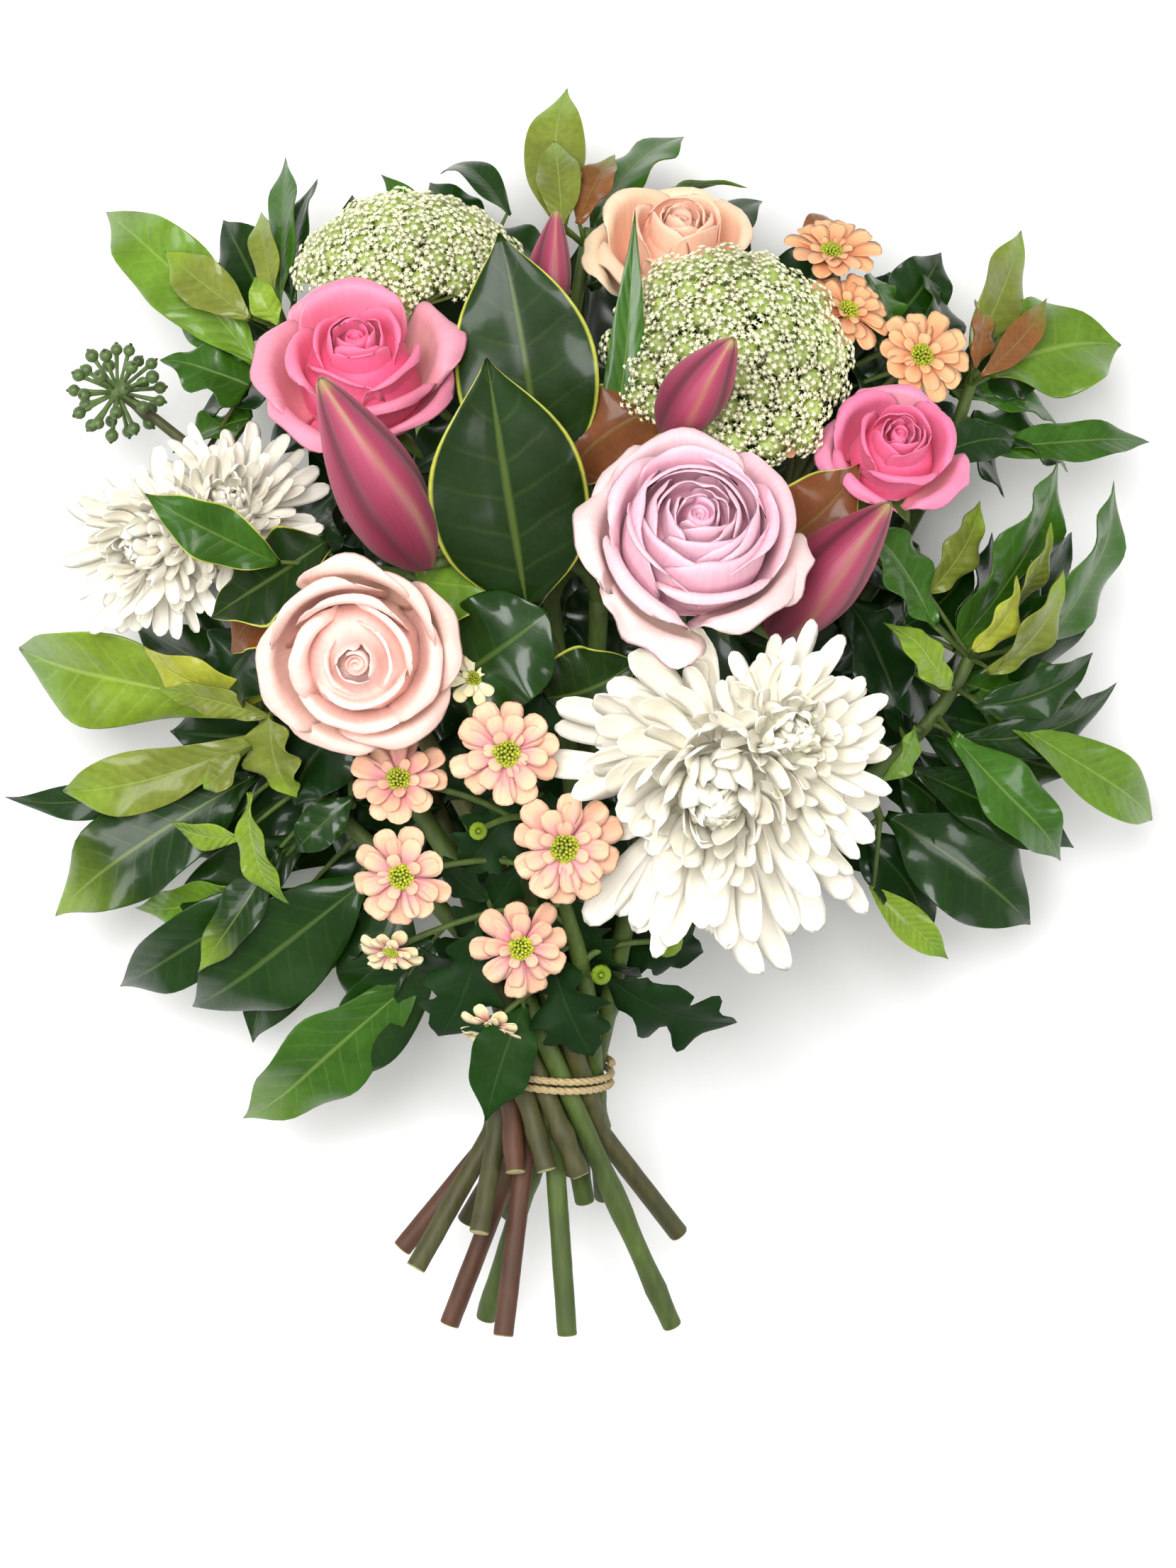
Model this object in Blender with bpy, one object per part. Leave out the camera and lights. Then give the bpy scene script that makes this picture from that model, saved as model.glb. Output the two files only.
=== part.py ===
"""A hand-tied bouquet lying on its back: roses, white chrysanthemums, lily buds, lace flowers and foliage.

Lengths are in millimetres and become metres as each mesh is made. +X is the bouquet's right, +Y runs from
the stem ends to the flowers, and +Z is up from the surface, towards the eye that looks down on the flowers.
"""

import math

import bmesh
import bpy
from mathutils import Matrix, Vector

MM = 0.001

# How the bouquet is seen. Places are given where they show against the plane, and drawn in from there.
EYE_HEIGHT = 2000.0
PLANE_HEIGHT = 100.0

# The bundle of stems. Every stem is straight through the binding and skew to it, as in a spiral bunch.
BINDING = Vector((-14.0, -110.0, 84.0))
BUNDLE_AXIS = Vector((0.06, 0.98, 0.185)).normalized()
SLOT_SPACING = 8.6
SLOT_RINGS = ((1, 0.0, 0.0), (6, 1.0, 0.0), (12, 1.965, 15.0))
SPIRAL = 0.03
STEM_RADIUS = 3.85
STRAIGHT_RISE = 22.0
# How far the cut ends of some stems bend to the right, by slot, and the share of the tail that stays straight.
TAIL_SHIFTS = {3: -6.0, 4: -4.0, 5: -6.5, 8: 18.0, 14: -8.0, 15: -12.0}
TAIL_STRAIGHT = 0.35

# The tie, a few turns of twine round the bundle.
TWINE_RADIUS = 1.5
TWINE_GAP = 0.8
TIE_TURNS = 2
TURN_POINTS = 12

LEAF_THICKNESS = 1.1
STALK_RADIUS = 0.8
SHORT_STALK = 7.0
PETAL_THICKNESS = 0.9
CLEARANCE = 0.35
FLAT_TRIM = 0.5
GOLDEN_ANGLE = math.pi * (3 - math.sqrt(5))
HEART = Vector((0.0, 60.0, 20.0))
UP = Vector((0.0, 0.0, 1.0))

# Outlines: how far along the blade each station stands, and its half width as a share of the full half.
LEAF = ((0.0, 0.07), (0.28, 0.84), (0.56, 1.0), (0.82, 0.58))
SMALL_LEAF = ((0.0, 0.14), (0.4, 1.0), (0.76, 0.66))
BACK_LEAF = ((0.0, 0.1), (0.35, 0.96), (0.7, 0.85))
ROUND_LEAF = ((0.0, 0.08), (0.15, 0.75), (0.45, 1.0), (0.75, 0.88), (0.93, 0.45))
LOBED_LEAF = (
    (0.0, 0.06), (0.2, 0.55), (0.3, 0.36), (0.46, 1.0), (0.56, 0.55), (0.72, 0.9), (0.82, 0.45),
)
IVY_LEAF = ((0.0, 0.08), (0.1, 0.9), (0.35, 0.62), (0.5, 0.85), (0.8, 0.3))
STRAP_PETAL = ((0.42, 0.8), (0.84, 1.0))
SPOON_PETAL = ((0.42, 0.66), (0.8, 1.0))
KITE_PETAL = ((0.66, 1.0),)

PINK = (0.85, 0.24, 0.42)
LAVENDER = (0.68, 0.45, 0.62)
BLUSH = (0.93, 0.6, 0.53)
PEACH = (0.9, 0.55, 0.34)
APRICOT = (0.87, 0.49, 0.25)
WHITE = (0.92, 0.92, 0.82)
MAGENTA = (0.42, 0.06, 0.14)
LACE = (0.68, 0.74, 0.45)
GREEN = (0.05, 0.13, 0.02)
FRESH_GREEN = (0.12, 0.24, 0.03)
DEEP_GREEN = (0.02, 0.06, 0.015)
STEM_GREEN = (0.14, 0.19, 0.05)
TWINE = (0.42, 0.36, 0.22)


def seen(place):
    """The point at the height of place that shows at its x and y against the plane."""
    x, y, z = place
    scale = drawn_in(z)
    return Vector((x * scale, y * scale, z))


def drawn_in(z):
    return (EYE_HEIGHT - z) / (EYE_HEIGHT - PLANE_HEIGHT)


def frame(origin, axis):
    """Rotation and place of a bloom whose own +Z is axis."""
    rotation = Vector(axis).normalized().to_track_quat("Z", "Y").to_matrix().to_4x4()
    return Matrix.Translation(origin) @ rotation


def bezier(points, share):
    """The point at share of a Bezier curve of any degree."""
    while len(points) > 1:
        points = [a.lerp(b, share) for a, b in zip(points, points[1:])]
    return points[0]


def polar_vector(polar, azimuth):
    return Vector((math.sin(polar) * math.cos(azimuth), math.sin(polar) * math.sin(azimuth), math.cos(polar)))


# Solids

def mesh_object(bm, place=None):
    """A mesh object from a bmesh in millimetres, standing at the frame place."""
    bmesh.ops.scale(bm, vec=(MM, MM, MM), verts=bm.verts)
    bmesh.ops.recalc_face_normals(bm, faces=bm.faces)
    mesh = bpy.data.meshes.new("piece")
    bm.to_mesh(mesh)
    bm.free()
    obj = bpy.data.objects.new("piece", mesh)
    if place is not None:
        obj.matrix_world = Matrix.Translation(place.translation * MM) @ place.to_3x3().to_4x4()
    bpy.context.scene.collection.objects.link(obj)
    return obj


def moulded(meridians, rings, shape, place=None, quarter=0.0):
    """A sphere of few meridians whose points are moved to shape(ring, angle).

    The root pole is ring 0 and the tip pole is ring rings + 1. The angle is 0 at the front and half a turn
    at the back. The quads are split alike on the front and the back, so a thin blade never crosses itself.
    """
    bm = bmesh.new()
    bmesh.ops.create_uvsphere(bm, u_segments=meridians, v_segments=rings + 1, radius=1.0)
    order = {}
    for vertex in bm.verts:
        polar = math.acos(max(-1.0, min(1.0, -vertex.co.z)))
        ring = round(polar / math.pi * (rings + 1))
        angle = math.atan2(vertex.co.y, vertex.co.x) + quarter
        side = round(math.sin(angle), 3)
        order[vertex] = (ring, abs(side), side)
        vertex.co = shape(ring, angle)
    for face in [face for face in bm.faces if len(face.verts) == 4]:
        corners = sorted(face.verts, key=order.get)
        bmesh.utils.face_split(face, corners[0], corners[-1])
    return mesh_object(bm, place)


def turned(meridians, profile, place, lobes=0, lobe_depth=0.0):
    """A round body on the axis of place. The profile gives the height and reach of each ring, poles too."""

    def shape(ring, angle):
        height, reach = profile[ring]
        reach *= 1 - lobe_depth + lobe_depth * math.cos(lobes * angle)
        return Vector((reach * math.cos(angle), reach * math.sin(angle), height))

    return moulded(meridians, len(profile) - 2, shape, place)


def outline_at(stations, ring):
    """How far along the blade a ring stands, and its half width; the two poles have no width."""
    if ring == 0:
        return 0.0, 0.0
    return stations[ring - 1] if ring <= len(stations) else (1.0, 0.0)


def blade(root, base, tip, width, face, stations=LEAF, arch=0.0, cup=0.0, curl=0.0, twist=0.0,
          thickness=LEAF_THICKNESS):
    """A leaf from base to tip with its upper side towards face, on a stalk that ends inside root."""
    line = tip - base
    along = line.normalized()
    up = (face - along * face.dot(along)).normalized()
    across = along.cross(up)
    stalk = (root - base).normalized()
    stalk_side = stalk.cross(up).normalized()
    stalk_up = stalk_side.cross(stalk)

    def shape(ring, angle):
        if ring == 0:
            return root + stalk * STALK_RADIUS
        if ring == 1:
            return root - (stalk_side * math.sin(angle) - stalk_up * math.cos(angle)) * STALK_RADIUS
        share, half = outline_at(stations, ring - 1)
        lift = arch * 4 * share * (1 - share) - curl * max(0.0, (share - 0.6) / 0.4) ** 2
        centre = base + line * share + up * line.length * lift
        turn = twist * (share - 0.3)
        out = across * math.cos(turn) + up * math.sin(turn)
        rise = up * math.cos(turn) - across * math.sin(turn)
        side = math.sin(angle) * half * width / 2
        depth = math.cos(angle) * thickness / 2 * min(1.0, 0.35 + half)
        return centre + out * side + rise * (depth + cup * abs(side))

    return moulded(4, len(stations) + 1, shape)


def petal(place, root, tip, width, face, stations, arch=0.0):
    """A strap or spoon petal, flat on its upper side, which is towards face, with a keel below."""
    line = tip - root
    along = line.normalized()
    up = (face - along * face.dot(along)).normalized()
    across = along.cross(up)

    def shape(ring, angle):
        share, half = outline_at(stations, ring)
        centre = root + line * share + up * line.length * arch * 4 * share * (1 - share)
        out = across * math.sin(angle) / math.sin(math.pi / 3) * half * width / 2
        return centre + out + up * math.cos(angle) * PETAL_THICKNESS * min(1.0, 0.3 + half)

    return moulded(3, len(stations), shape, place, quarter=math.pi)


def ball(centre, radius):
    rings = ((-1.0, 0.0), (-0.4, 0.92), (0.5, 0.87), (1.0, 0.0))
    return turned(5, [(radius * height, radius * reach) for height, reach in rings], frame(centre, UP))


def tube(points, radii, resolution=1):
    """A round stalk along points, as a mesh; resolution 1 gives it six sides."""
    curve = bpy.data.curves.new("stalk", "CURVE")
    curve.dimensions = "3D"
    curve.bevel_depth = MM
    curve.bevel_resolution = resolution
    curve.use_fill_caps = True
    spline = curve.splines.new("POLY")
    spline.points.add(len(points) - 1)
    for node, point, radius in zip(spline.points, points, radii, strict=True):
        node.co = (*(point * MM), 1.0)
        node.radius = radius
    drawn = bpy.data.objects.new("stalk", curve)
    bpy.context.scene.collection.objects.link(drawn)
    mesh = evaluated_mesh(drawn)
    bpy.data.objects.remove(drawn)
    bm = bmesh.new()
    bm.from_mesh(mesh)
    bmesh.ops.remove_doubles(bm, verts=bm.verts, dist=0.01 * MM)
    bmesh.ops.scale(bm, vec=(1 / MM, 1 / MM, 1 / MM), verts=bm.verts)
    return mesh_object(bm)


# Fusing and clearing

def evaluated_mesh(obj):
    bpy.context.view_layer.update()
    graph = bpy.context.evaluated_depsgraph_get()
    return bpy.data.meshes.new_from_object(obj.evaluated_get(graph))


def boolean(obj, operation, others):
    """Joins others to obj, or cuts them from it, in one applied Boolean on a collection."""
    if not others:
        return
    group = bpy.data.collections.new("tools")
    bpy.context.scene.collection.children.link(group)
    for other in others:
        group.objects.link(other)
    modifier = obj.modifiers.new(operation.lower(), "BOOLEAN")
    modifier.operation = operation
    modifier.solver = "MANIFOLD"
    modifier.operand_type = "COLLECTION"
    modifier.collection = group
    mesh = evaluated_mesh(obj)
    obj.modifiers.clear()
    obj.data = mesh
    bpy.data.collections.remove(group)


def bodies_of(bm):
    """The loose bodies of a mesh, each as a list of its faces."""
    left = set(bm.faces)
    found = []
    while left:
        body = [left.pop()]
        for face in body:
            for edge in face.edges:
                near = [other for other in edge.link_faces if other in left]
                body.extend(near)
                left.difference_update(near)
        found.append(body)
    return found


def volume_of(faces):
    total = 0.0
    for face in faces:
        corners = [vertex.co for vertex in face.verts]
        for one, two in zip(corners[1:], corners[2:]):
            total += corners[0].dot(one.cross(two)) / 6
    return total


def drop_scraps(mesh):
    """Keeps the largest body of a mesh, without the scraps and the sealed hollows."""
    bm = bmesh.new()
    bm.from_mesh(mesh)
    bodies = sorted(bodies_of(bm), key=volume_of)
    scraps = [face for body in bodies[:-1] for face in body]
    bmesh.ops.delete(bm, geom=scraps, context="FACES")
    bm.to_mesh(mesh)
    bm.free()


def grown(obj, whole=False):
    """A copy of obj, or of the hull of the whole of it, larger all round by the clearance."""
    bm = bmesh.new()
    bm.from_mesh(obj.data)
    if whole:
        hull = bmesh.ops.convex_hull(bm, input=bm.verts)
        inside = [item for item in hull["geom_interior"] + hull["geom_unused"] if isinstance(item, bmesh.types.BMVert)]
        bmesh.ops.delete(bm, geom=inside, context="VERTS")
        kept = {face for face in hull["geom"] if isinstance(face, bmesh.types.BMFace)}
        bmesh.ops.delete(bm, geom=[face for face in bm.faces if face not in kept], context="FACES_ONLY")
        bmesh.ops.recalc_face_normals(bm, faces=bm.faces)
    bm.normal_update()
    moves = [(v, v.normal * CLEARANCE * MM * min(2.0, v.calc_shell_factor())) for v in bm.verts]
    for vertex, move in moves:
        vertex.co += move
    mesh = bpy.data.meshes.new("clearance")
    bm.to_mesh(mesh)
    bm.free()
    copy = bpy.data.objects.new("clearance", mesh)
    copy.matrix_world = obj.matrix_world
    return copy


def box_of(obj):
    points = [obj.matrix_world @ vertex.co for vertex in obj.data.vertices]
    return [(min(p[k] for p in points), max(p[k] for p in points)) for k in range(3)]


def boxes_meet(one, other):
    return all(a[0] < b[1] and b[0] < a[1] for a, b in zip(one, other, strict=True))


def material(name, colour, roughness):
    made = bpy.data.materials.new(name)
    made.use_nodes = True
    shader = made.node_tree.nodes["Principled BSDF"]
    shader.inputs["Base Color"].default_value = (*colour, 1.0)
    shader.inputs["Roughness"].default_value = roughness
    shader.inputs["Metallic"].default_value = 0.0
    return made


class Bouquet:
    """The finished nodes. A node keeps its whole shape, and the nodes added after it are cut clear of it."""

    def __init__(self):
        self.collection = bpy.data.collections.new("bouquet")
        bpy.context.scene.collection.children.link(self.collection)
        self.holder = bpy.data.objects.new("bouquet_frame", None)
        self.collection.objects.link(self.holder)
        self.clearances = []

    def add(self, name, pieces, colour, roughness=0.6, whole=False):
        """Fuses the pieces into one node. With whole, later nodes stay out of its hull too."""
        bpy.context.view_layer.update()
        clearances = [] if whole else [grown(piece) for piece in pieces]
        node = pieces[0]
        boolean(node, "UNION", pieces[1:])
        for piece in pieces[1:]:
            bpy.data.objects.remove(piece)
        box = box_of(node)
        boolean(node, "DIFFERENCE", [copy for copy, around in self.clearances if boxes_meet(box, around)])
        drop_scraps(node.data)
        node.name = node.data.name = name
        node.data.materials.clear()
        node.data.materials.append(material(name, colour, roughness))
        bpy.context.scene.collection.objects.unlink(node)
        self.collection.objects.link(node)
        node.parent = self.holder
        if whole:
            clearances = [grown(node, whole=True)]
        self.clearances += [(copy, box_of(copy)) for copy in clearances]

    def settle(self):
        """Removes the cutters and stands the middle of the bouquet's box at the origin, on the surface."""
        for copy, _ in self.clearances:
            bpy.data.objects.remove(copy)
        boxes = [box_of(obj) for obj in self.collection.objects if obj.type == "MESH"]
        low = [min(box[k][0] for box in boxes) for k in range(3)]
        high = [max(box[k][1] for box in boxes) for k in range(3)]
        self.holder.location = (-(low[0] + high[0]) / 2, -(low[1] + high[1]) / 2, -low[2])


# Stems, twigs and leaves

def slot_place(slot):
    """Where a slot of the binding lies in its plane."""
    for count, ring, turned_by in SLOT_RINGS:
        if slot < count:
            angle = math.radians(turned_by) + 2 * math.pi * slot / count
            return SLOT_SPACING * ring * math.cos(angle), SLOT_SPACING * ring * math.sin(angle)
        slot -= count
    raise ValueError("no such slot")


def binding_sides():
    """The two directions across the bundle, to its right and to its front."""
    right = (Vector((1, 0, 0)) - BUNDLE_AXIS * BUNDLE_AXIS.x).normalized()
    return right, right.cross(BUNDLE_AXIS)


def stem_line(slot, length, head, arrival, steps=4):
    """The line of a stem: straight from its cut end through the binding, then curving to its head."""
    a, b = slot_place(slot)
    right, front = binding_sides()
    start = BINDING + right * a + front * b
    along = BUNDLE_AXIS + (front * a - right * b) * SPIRAL
    rise = start + along * STRAIGHT_RISE
    span = (head - rise).length
    arrival = Vector(arrival).normalized()
    bend = [rise, rise + along.normalized() * span * 0.4, head - arrival * span * 0.35, head]
    tail = [start - along * length + right * TAIL_SHIFTS.get(slot, 0.0)]
    if slot in TAIL_SHIFTS:
        tail.append(start - along * length * TAIL_STRAIGHT)
    return tail + [bezier(bend, k / steps) for k in range(steps + 1)]


def stem(line, radius=3.0):
    """A stem that is STEM_RADIUS thick at the binding and radius at its head."""
    last = len(line) - 2
    return tube(line, [STEM_RADIUS, *(STEM_RADIUS + (radius - STEM_RADIUS) * k / last for k in range(last + 1))])


def place_on(line, share):
    """The point at a share of a line of points, and the line's direction there."""
    spot = share * (len(line) - 1)
    k = min(int(spot), len(line) - 2)
    return line[k].lerp(line[k + 1], spot - k), (line[k + 1] - line[k]).normalized()


def twig_line(line, share, end, steps=2):
    """A side shoot from a share of a stem's line, leaving along the stem and curving to its end."""
    start, along = place_on(line, share)
    middle = start + along * (end - start).length * 0.45
    return [bezier([start, middle, end], k / steps) for k in range(steps + 1)]


def twig(line, radius):
    last = len(line) - 1
    return tube(line, [radius * (1.15 - 0.35 * k / last) for k in range(last + 1)], resolution=int(radius > 2.2))


def nearest(point, lines):
    """The place nearest to point on any of the lines, a little short of their tips."""
    best = lines[0][0]
    for line in lines:
        for a, b in zip(line, line[1:]):
            step = b - a
            here = a + step * max(0.0, min(0.85, (point - a).dot(step) / step.length_squared))
            if (here - point).length < (best - point).length:
                best = here
    return best


def leaves(table, lines):
    """Leaves on the shoots in lines. Each row is base, tip, width and, if any, how the blade is shaped."""
    made = []
    for base, tip, width, *more in table:
        options = {"arch": 0.06, "cup": 0.16, "stations": SMALL_LEAF if width < 28 else LEAF}
        options.update(*more)
        low, high = seen(base), seen(tip)
        face = options.pop("face", (low + high) / 2 - HEART)
        root = nearest(low, lines)
        if (low - root).length < SHORT_STALK:
            options["stations"] = options["stations"][1:]
        made.append(blade(root, low, high, width * drawn_in(base[2]), face, **options))
    return made


# Roses. Each whorl of petals gives their count and half angle in degrees, then belly, rim and top as shares
# of the bloom's radius and height.
OPEN_ROSE = ((3, 72, 0.4, 0.34, 0.94), (4, 58, 0.62, 0.6, 0.96), (4, 56, 0.82, 0.84, 0.84), (5, 44, 0.96, 1.08, 0.62))
CUP_ROSE = ((3, 72, 0.46, 0.38, 0.96), (3, 72, 0.74, 0.68, 0.94), (5, 46, 0.94, 1.04, 0.72))
SMALL_ROSE = ((3, 72, 0.5, 0.42, 0.96), (3, 72, 0.78, 0.72, 0.9), (4, 54, 0.94, 1.06, 0.66))

ROSES = (
    ("rose_hot_pink_left", (-88, 162, 165), (-0.1, 0.45, 0.88), 38, CUP_ROSE, PINK),
    ("rose_lavender", (41, 96, 205), (0.05, 0.25, 0.95), 43, OPEN_ROSE, LAVENDER),
    ("rose_blush", (-88, 48, 195), (-0.1, -0.15, 0.97), 39, CUP_ROSE, BLUSH),
    ("rose_hot_pink_right", (118, 129, 150), (0.15, 0.5, 0.85), 27, SMALL_ROSE, PINK),
    ("rose_peach", (35, 207, 104), (0.1, 0.75, 0.65), 33, SMALL_ROSE, BLUSH),
)
ROSE_STEMS = {
    "rose_hot_pink_left": (2, 52, (-0.25, 0.6, 0.6), 3.0),
    "rose_lavender": (18, 48, (0.05, 0.35, 0.9), 3.3),
    "rose_blush": (8, 66, (-0.15, 0.2, 0.95), 3.3),
    "rose_hot_pink_right": (6, 108, (0.3, 0.6, 0.65), 2.7),
    "rose_peach": (4, 100, (0.1, 0.85, 0.45), 2.8),
}


def rose_petal(place, radius, height, azimuth, half_angle, belly, rim, top):
    """A cupped petal: its profile bulges to belly, ends at rim and top, and wraps half_angle each way."""
    profile = [Vector(p) for p in ((0.06, 0.0), (belly * 1.25, -0.02), (belly, top * 0.62), (rim, top))]
    stations = ((0.5, 0.84), (0.86, 0.88))
    lean = 0.06

    def shape(ring, angle):
        share, half = outline_at(stations, ring)
        out, rise = bezier(profile, share)
        side = math.sin(angle) * half
        reach = radius * out * (1 + lean * side) + PETAL_THICKNESS / 2 * math.cos(angle)
        turn = azimuth + half_angle * side
        return Vector((reach * math.cos(turn), reach * math.sin(turn), height * (rise - 0.06 * side ** 2)))

    return moulded(6, len(stations), shape, place, quarter=math.pi / 6)


def rose_place(centre, axis, radius):
    """The frame at the foot of a rose, and its real radius and height."""
    radius *= drawn_in(centre[2])
    height = radius * 1.12
    axis = Vector(axis).normalized()
    return frame(seen(centre) - axis * height * 0.6, axis), radius, height


def rose_bloom(name, centre, axis, radius, whorls, colour):
    place, radius, height = rose_place(centre, axis, radius)
    heart = ((-0.12, 0.0), (-0.02, 0.2), (0.3, 0.28), (0.8, 0.24), (0.98, 0.1), (0.96, 0.0))
    pieces = [turned(6, [(rise * height, reach * radius) for rise, reach in heart], place)]
    for layer, (count, half_angle, belly, rim, top) in enumerate(whorls):
        for k in range(count):
            azimuth = 2 * math.pi * (k / count + 0.17 * layer)
            pieces.append(rose_petal(place, radius, height, azimuth, math.radians(half_angle), belly, rim, top))
    bouquet.add(name, pieces, colour, whole=True)


def rose_stem(name, centre, axis, bloom_radius):
    """The stem of a rose, with five sepals that spread below the bloom."""
    slot, length, arrival, radius = ROSE_STEMS[name]
    place, bloom_radius, height = rose_place(centre, axis, bloom_radius)
    line = stem_line(slot, length, place.translation, arrival)
    pieces = [stem(line, radius)]
    down = place.to_3x3().transposed() @ (line[-2] - line[-1]).normalized()
    for k in range(5):
        out = polar_vector(math.radians(100), 2 * math.pi * k / 5)
        root = out * 0.8 + down * (0.2 + 0.02 * k) * height
        pieces.append(petal(place, root, root + out * bloom_radius * 0.66, 8, UP, KITE_PETAL))
    if name == "rose_blush":
        pieces += leaves(BLUSH_ROSE_LEAVES, [line])
    bouquet.add(name + "_stem", pieces, STEM_GREEN)


BLUSH_ROSE_LEAVES = (
    ((-54, 38, 172), (-15, 66, 186), 42, {"stations": ROUND_LEAF}),
)


# White chrysanthemums. Each head gives its place, the way it faces, its radius and how many petals it has,
# and how far its outer petals sag.
WHITE_HEADS = {
    "chrysanthemum_white_right": (
        ((50, 2, 182), (-0.05, -0.3, 0.95), 70, 32, (-2, -12, -4)),
        ((75, 18, 190), (0.25, 0.1, 0.95), 46, 20, (4, 2, 0)),
    ),
    "chrysanthemum_white_left": (
        ((-165, 93, 118), (-0.35, -0.15, 0.9), 42, 21, (-1, -3, -2)),
        ((-138, 104, 124), (0.1, 0.3, 0.93), 38, 19, (2, 3, 0)),
    ),
}
WHITE_PETAL_WIDTH = 0.24
WHITE_CORE = 0.36


def white_head(centre, axis, radius, petals, sag):
    """Strap petals in a golden-angle spiral round a smaller core; the inner ones curve inwards."""
    scale = drawn_in(centre[2])
    radius *= scale
    place = frame(seen(centre), axis)
    core = WHITE_CORE * radius
    rings = ((-1.2, 0.0), (-0.7, 0.6), (0.0, 1.0), (0.6, 0.75), (0.9, 0.0))
    pieces = [turned(6, [(core * height, core * reach) for height, reach in rings], place)]
    droop = place.to_3x3().transposed() @ Vector(sag)
    for k in range(petals):
        share = (k + 0.5) / petals
        azimuth = k * GOLDEN_ANGLE
        polar = math.radians(8 + 96 * share ** 0.75)
        out = polar_vector(polar, azimuth)
        up = -polar_vector(polar + math.pi / 2, azimuth)
        reach = radius * (0.46 + 0.54 * share ** 0.6)
        tip = out * reach + up * reach * (0.16 - 0.25 * (1 - share)) + droop * share
        width = WHITE_PETAL_WIDTH * radius * (0.65 + 0.35 * share)
        pieces.append(petal(place, out * core * 0.6, tip, width, up, STRAP_PETAL, arch=0.05 + 0.05 * share))
    return pieces


def white_chrysanthemums():
    for name, heads in WHITE_HEADS.items():
        pieces = [piece for head in heads for piece in white_head(*head)]
        bouquet.add(name, pieces, WHITE, whole=True)


def white_stem(name, slot, length, arrival):
    """The stem of a white chrysanthemum, which meets the core of its first head."""
    centre, axis, radius, _, _ = WHITE_HEADS[name][0]
    foot = seen(centre) - Vector(axis).normalized() * WHITE_CORE * radius
    bouquet.add(name + "_stem", [stem(stem_line(slot, length, foot, arrival), 3.4)], STEM_GREEN)


# Small spray chrysanthemums. Each floret gives its place, the way it faces, its radius, its outer and inner
# petals, its colour, and how far up the stem its stalk leaves it.
FRONT_FLORETS = (
    ("spray_floret_front_1", (-31, 12, 186), (-0.05, -0.1, 1), 22, 8, 4, PEACH, 1.0),
    ("spray_floret_front_2", (-9, -24, 180), (0.05, -0.15, 1), 23, 8, 4, PEACH, 0.62),
    ("spray_floret_front_3", (-71, -35, 160), (-0.2, -0.15, 1), 21, 8, 4, PEACH, 0.5),
    ("spray_floret_front_4", (-72, 1, 158), (-0.1, 0.35, 0.9), 20, 7, 4, PEACH, 0.6),
    ("spray_floret_front_5", (-26, -62, 136), (0.1, -0.3, 0.9), 20, 7, 4, PEACH, 0.48),
    ("spray_floret_front_6", (-37, -92, 118), (-0.2, -0.8, 0.6), 13, 6, 3, WHITE, 0.3),
    ("spray_floret_front_7", (-75, -63, 134), (-0.2, -0.8, 0.6), 13, 6, 3, WHITE, 0.4),
    ("cream_blossom", (-44, 40, 178), (0.2, 0.2, 1), 12, 5, 3, WHITE, 0.75),
)
FLORETS_IN_FRONT = 2
RIGHT_FLORETS = (
    ("spray_floret_right_1", (93, 202, 110), (0.1, 0.7, 0.7), 19, 7, 4, APRICOT, 0.88),
    ("spray_floret_right_2", (99, 180, 118), (0.3, 0.5, 0.8), 18, 7, 4, APRICOT, 1.0),
    ("spray_floret_right_3", (127, 163, 118), (0.3, 0.3, 0.9), 20, 7, 4, APRICOT, 0.79),
    ("spray_floret_right_4", (78, 132, 148), (0.1, 0.3, 0.9), 9, 5, 3, APRICOT, 0.75),
)
FRONT_LEAVES = (
    ((4, -70, 116), (57, -92, 100), 36, {"stations": LOBED_LEAF}),
    ((-14, -64, 124), (2, -104, 118), 32, {"stations": LOBED_LEAF}),
    ((-42, -52, 128), (-58, -98, 112), 30, {"stations": LOBED_LEAF}),
    ((-38, -44, 142), (-56, -28, 144), 14),
    ((-24, -84, 116), (-39, -129, 116), 24),
)
FRONT_BUDS = (((5, -73, 124), 4.0, 0.3), ((30, -60, 112), 6.5, 0.32), ((-42, -18, 168), 3.5, 0.7))


def floret(name, centre, axis, radius, outer, inner, colour, _, whole=False):
    """A disc with spoon petals in two layers, the inner ones shorter and steeper."""
    radius *= drawn_in(centre[2])
    place = frame(seen(centre), axis)
    disc = 0.3 * radius
    rings = ((-0.9, 0.0), (0.0, 1.0), (0.55, 0.0))
    pieces = [turned(6, [(disc * height, disc * reach) for height, reach in rings], place)]
    layers = ((outer, 1.0, 0.58, 0.2, SPOON_PETAL, 0.0), (inner, 0.66, 0.42, 0.6, KITE_PETAL, 0.35))
    for count, reach, width, lift, stations, turn in layers:
        for k in range(count):
            azimuth = 2 * math.pi * (k + turn) / count
            out = Vector((math.cos(azimuth), math.sin(azimuth), lift)).normalized()
            tip = out * radius * reach + UP * 0.1 * radius * (k % 2)
            pieces.append(petal(place, out * disc * 0.5, tip, radius * width, UP, stations, arch=0.05))
    bouquet.add(name, pieces, colour, whole=whole)


def spray_stem(name, slot, length, arrival, florets, buds, table, colour):
    """A branching stem: one stalk ends at each floret, and its main line at the one whose share is 1."""
    ends = {share: seen(centre) for _, centre, _, _, _, _, _, share in florets}
    line = stem_line(slot, length, ends.pop(1.0), arrival)
    shoots = [line]
    shoots += [twig_line(line, share, end) for share, end in ends.items()]
    shoots += [twig_line(line, share, seen(centre)) for centre, _, share in buds]
    pieces = [stem(line, 1.8)] + [twig(shoot, 1.3) for shoot in shoots[1:]]
    pieces += [ball(seen(centre), radius) for centre, radius, _ in buds]
    bouquet.add(name, pieces + leaves(table, shoots), colour)


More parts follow.
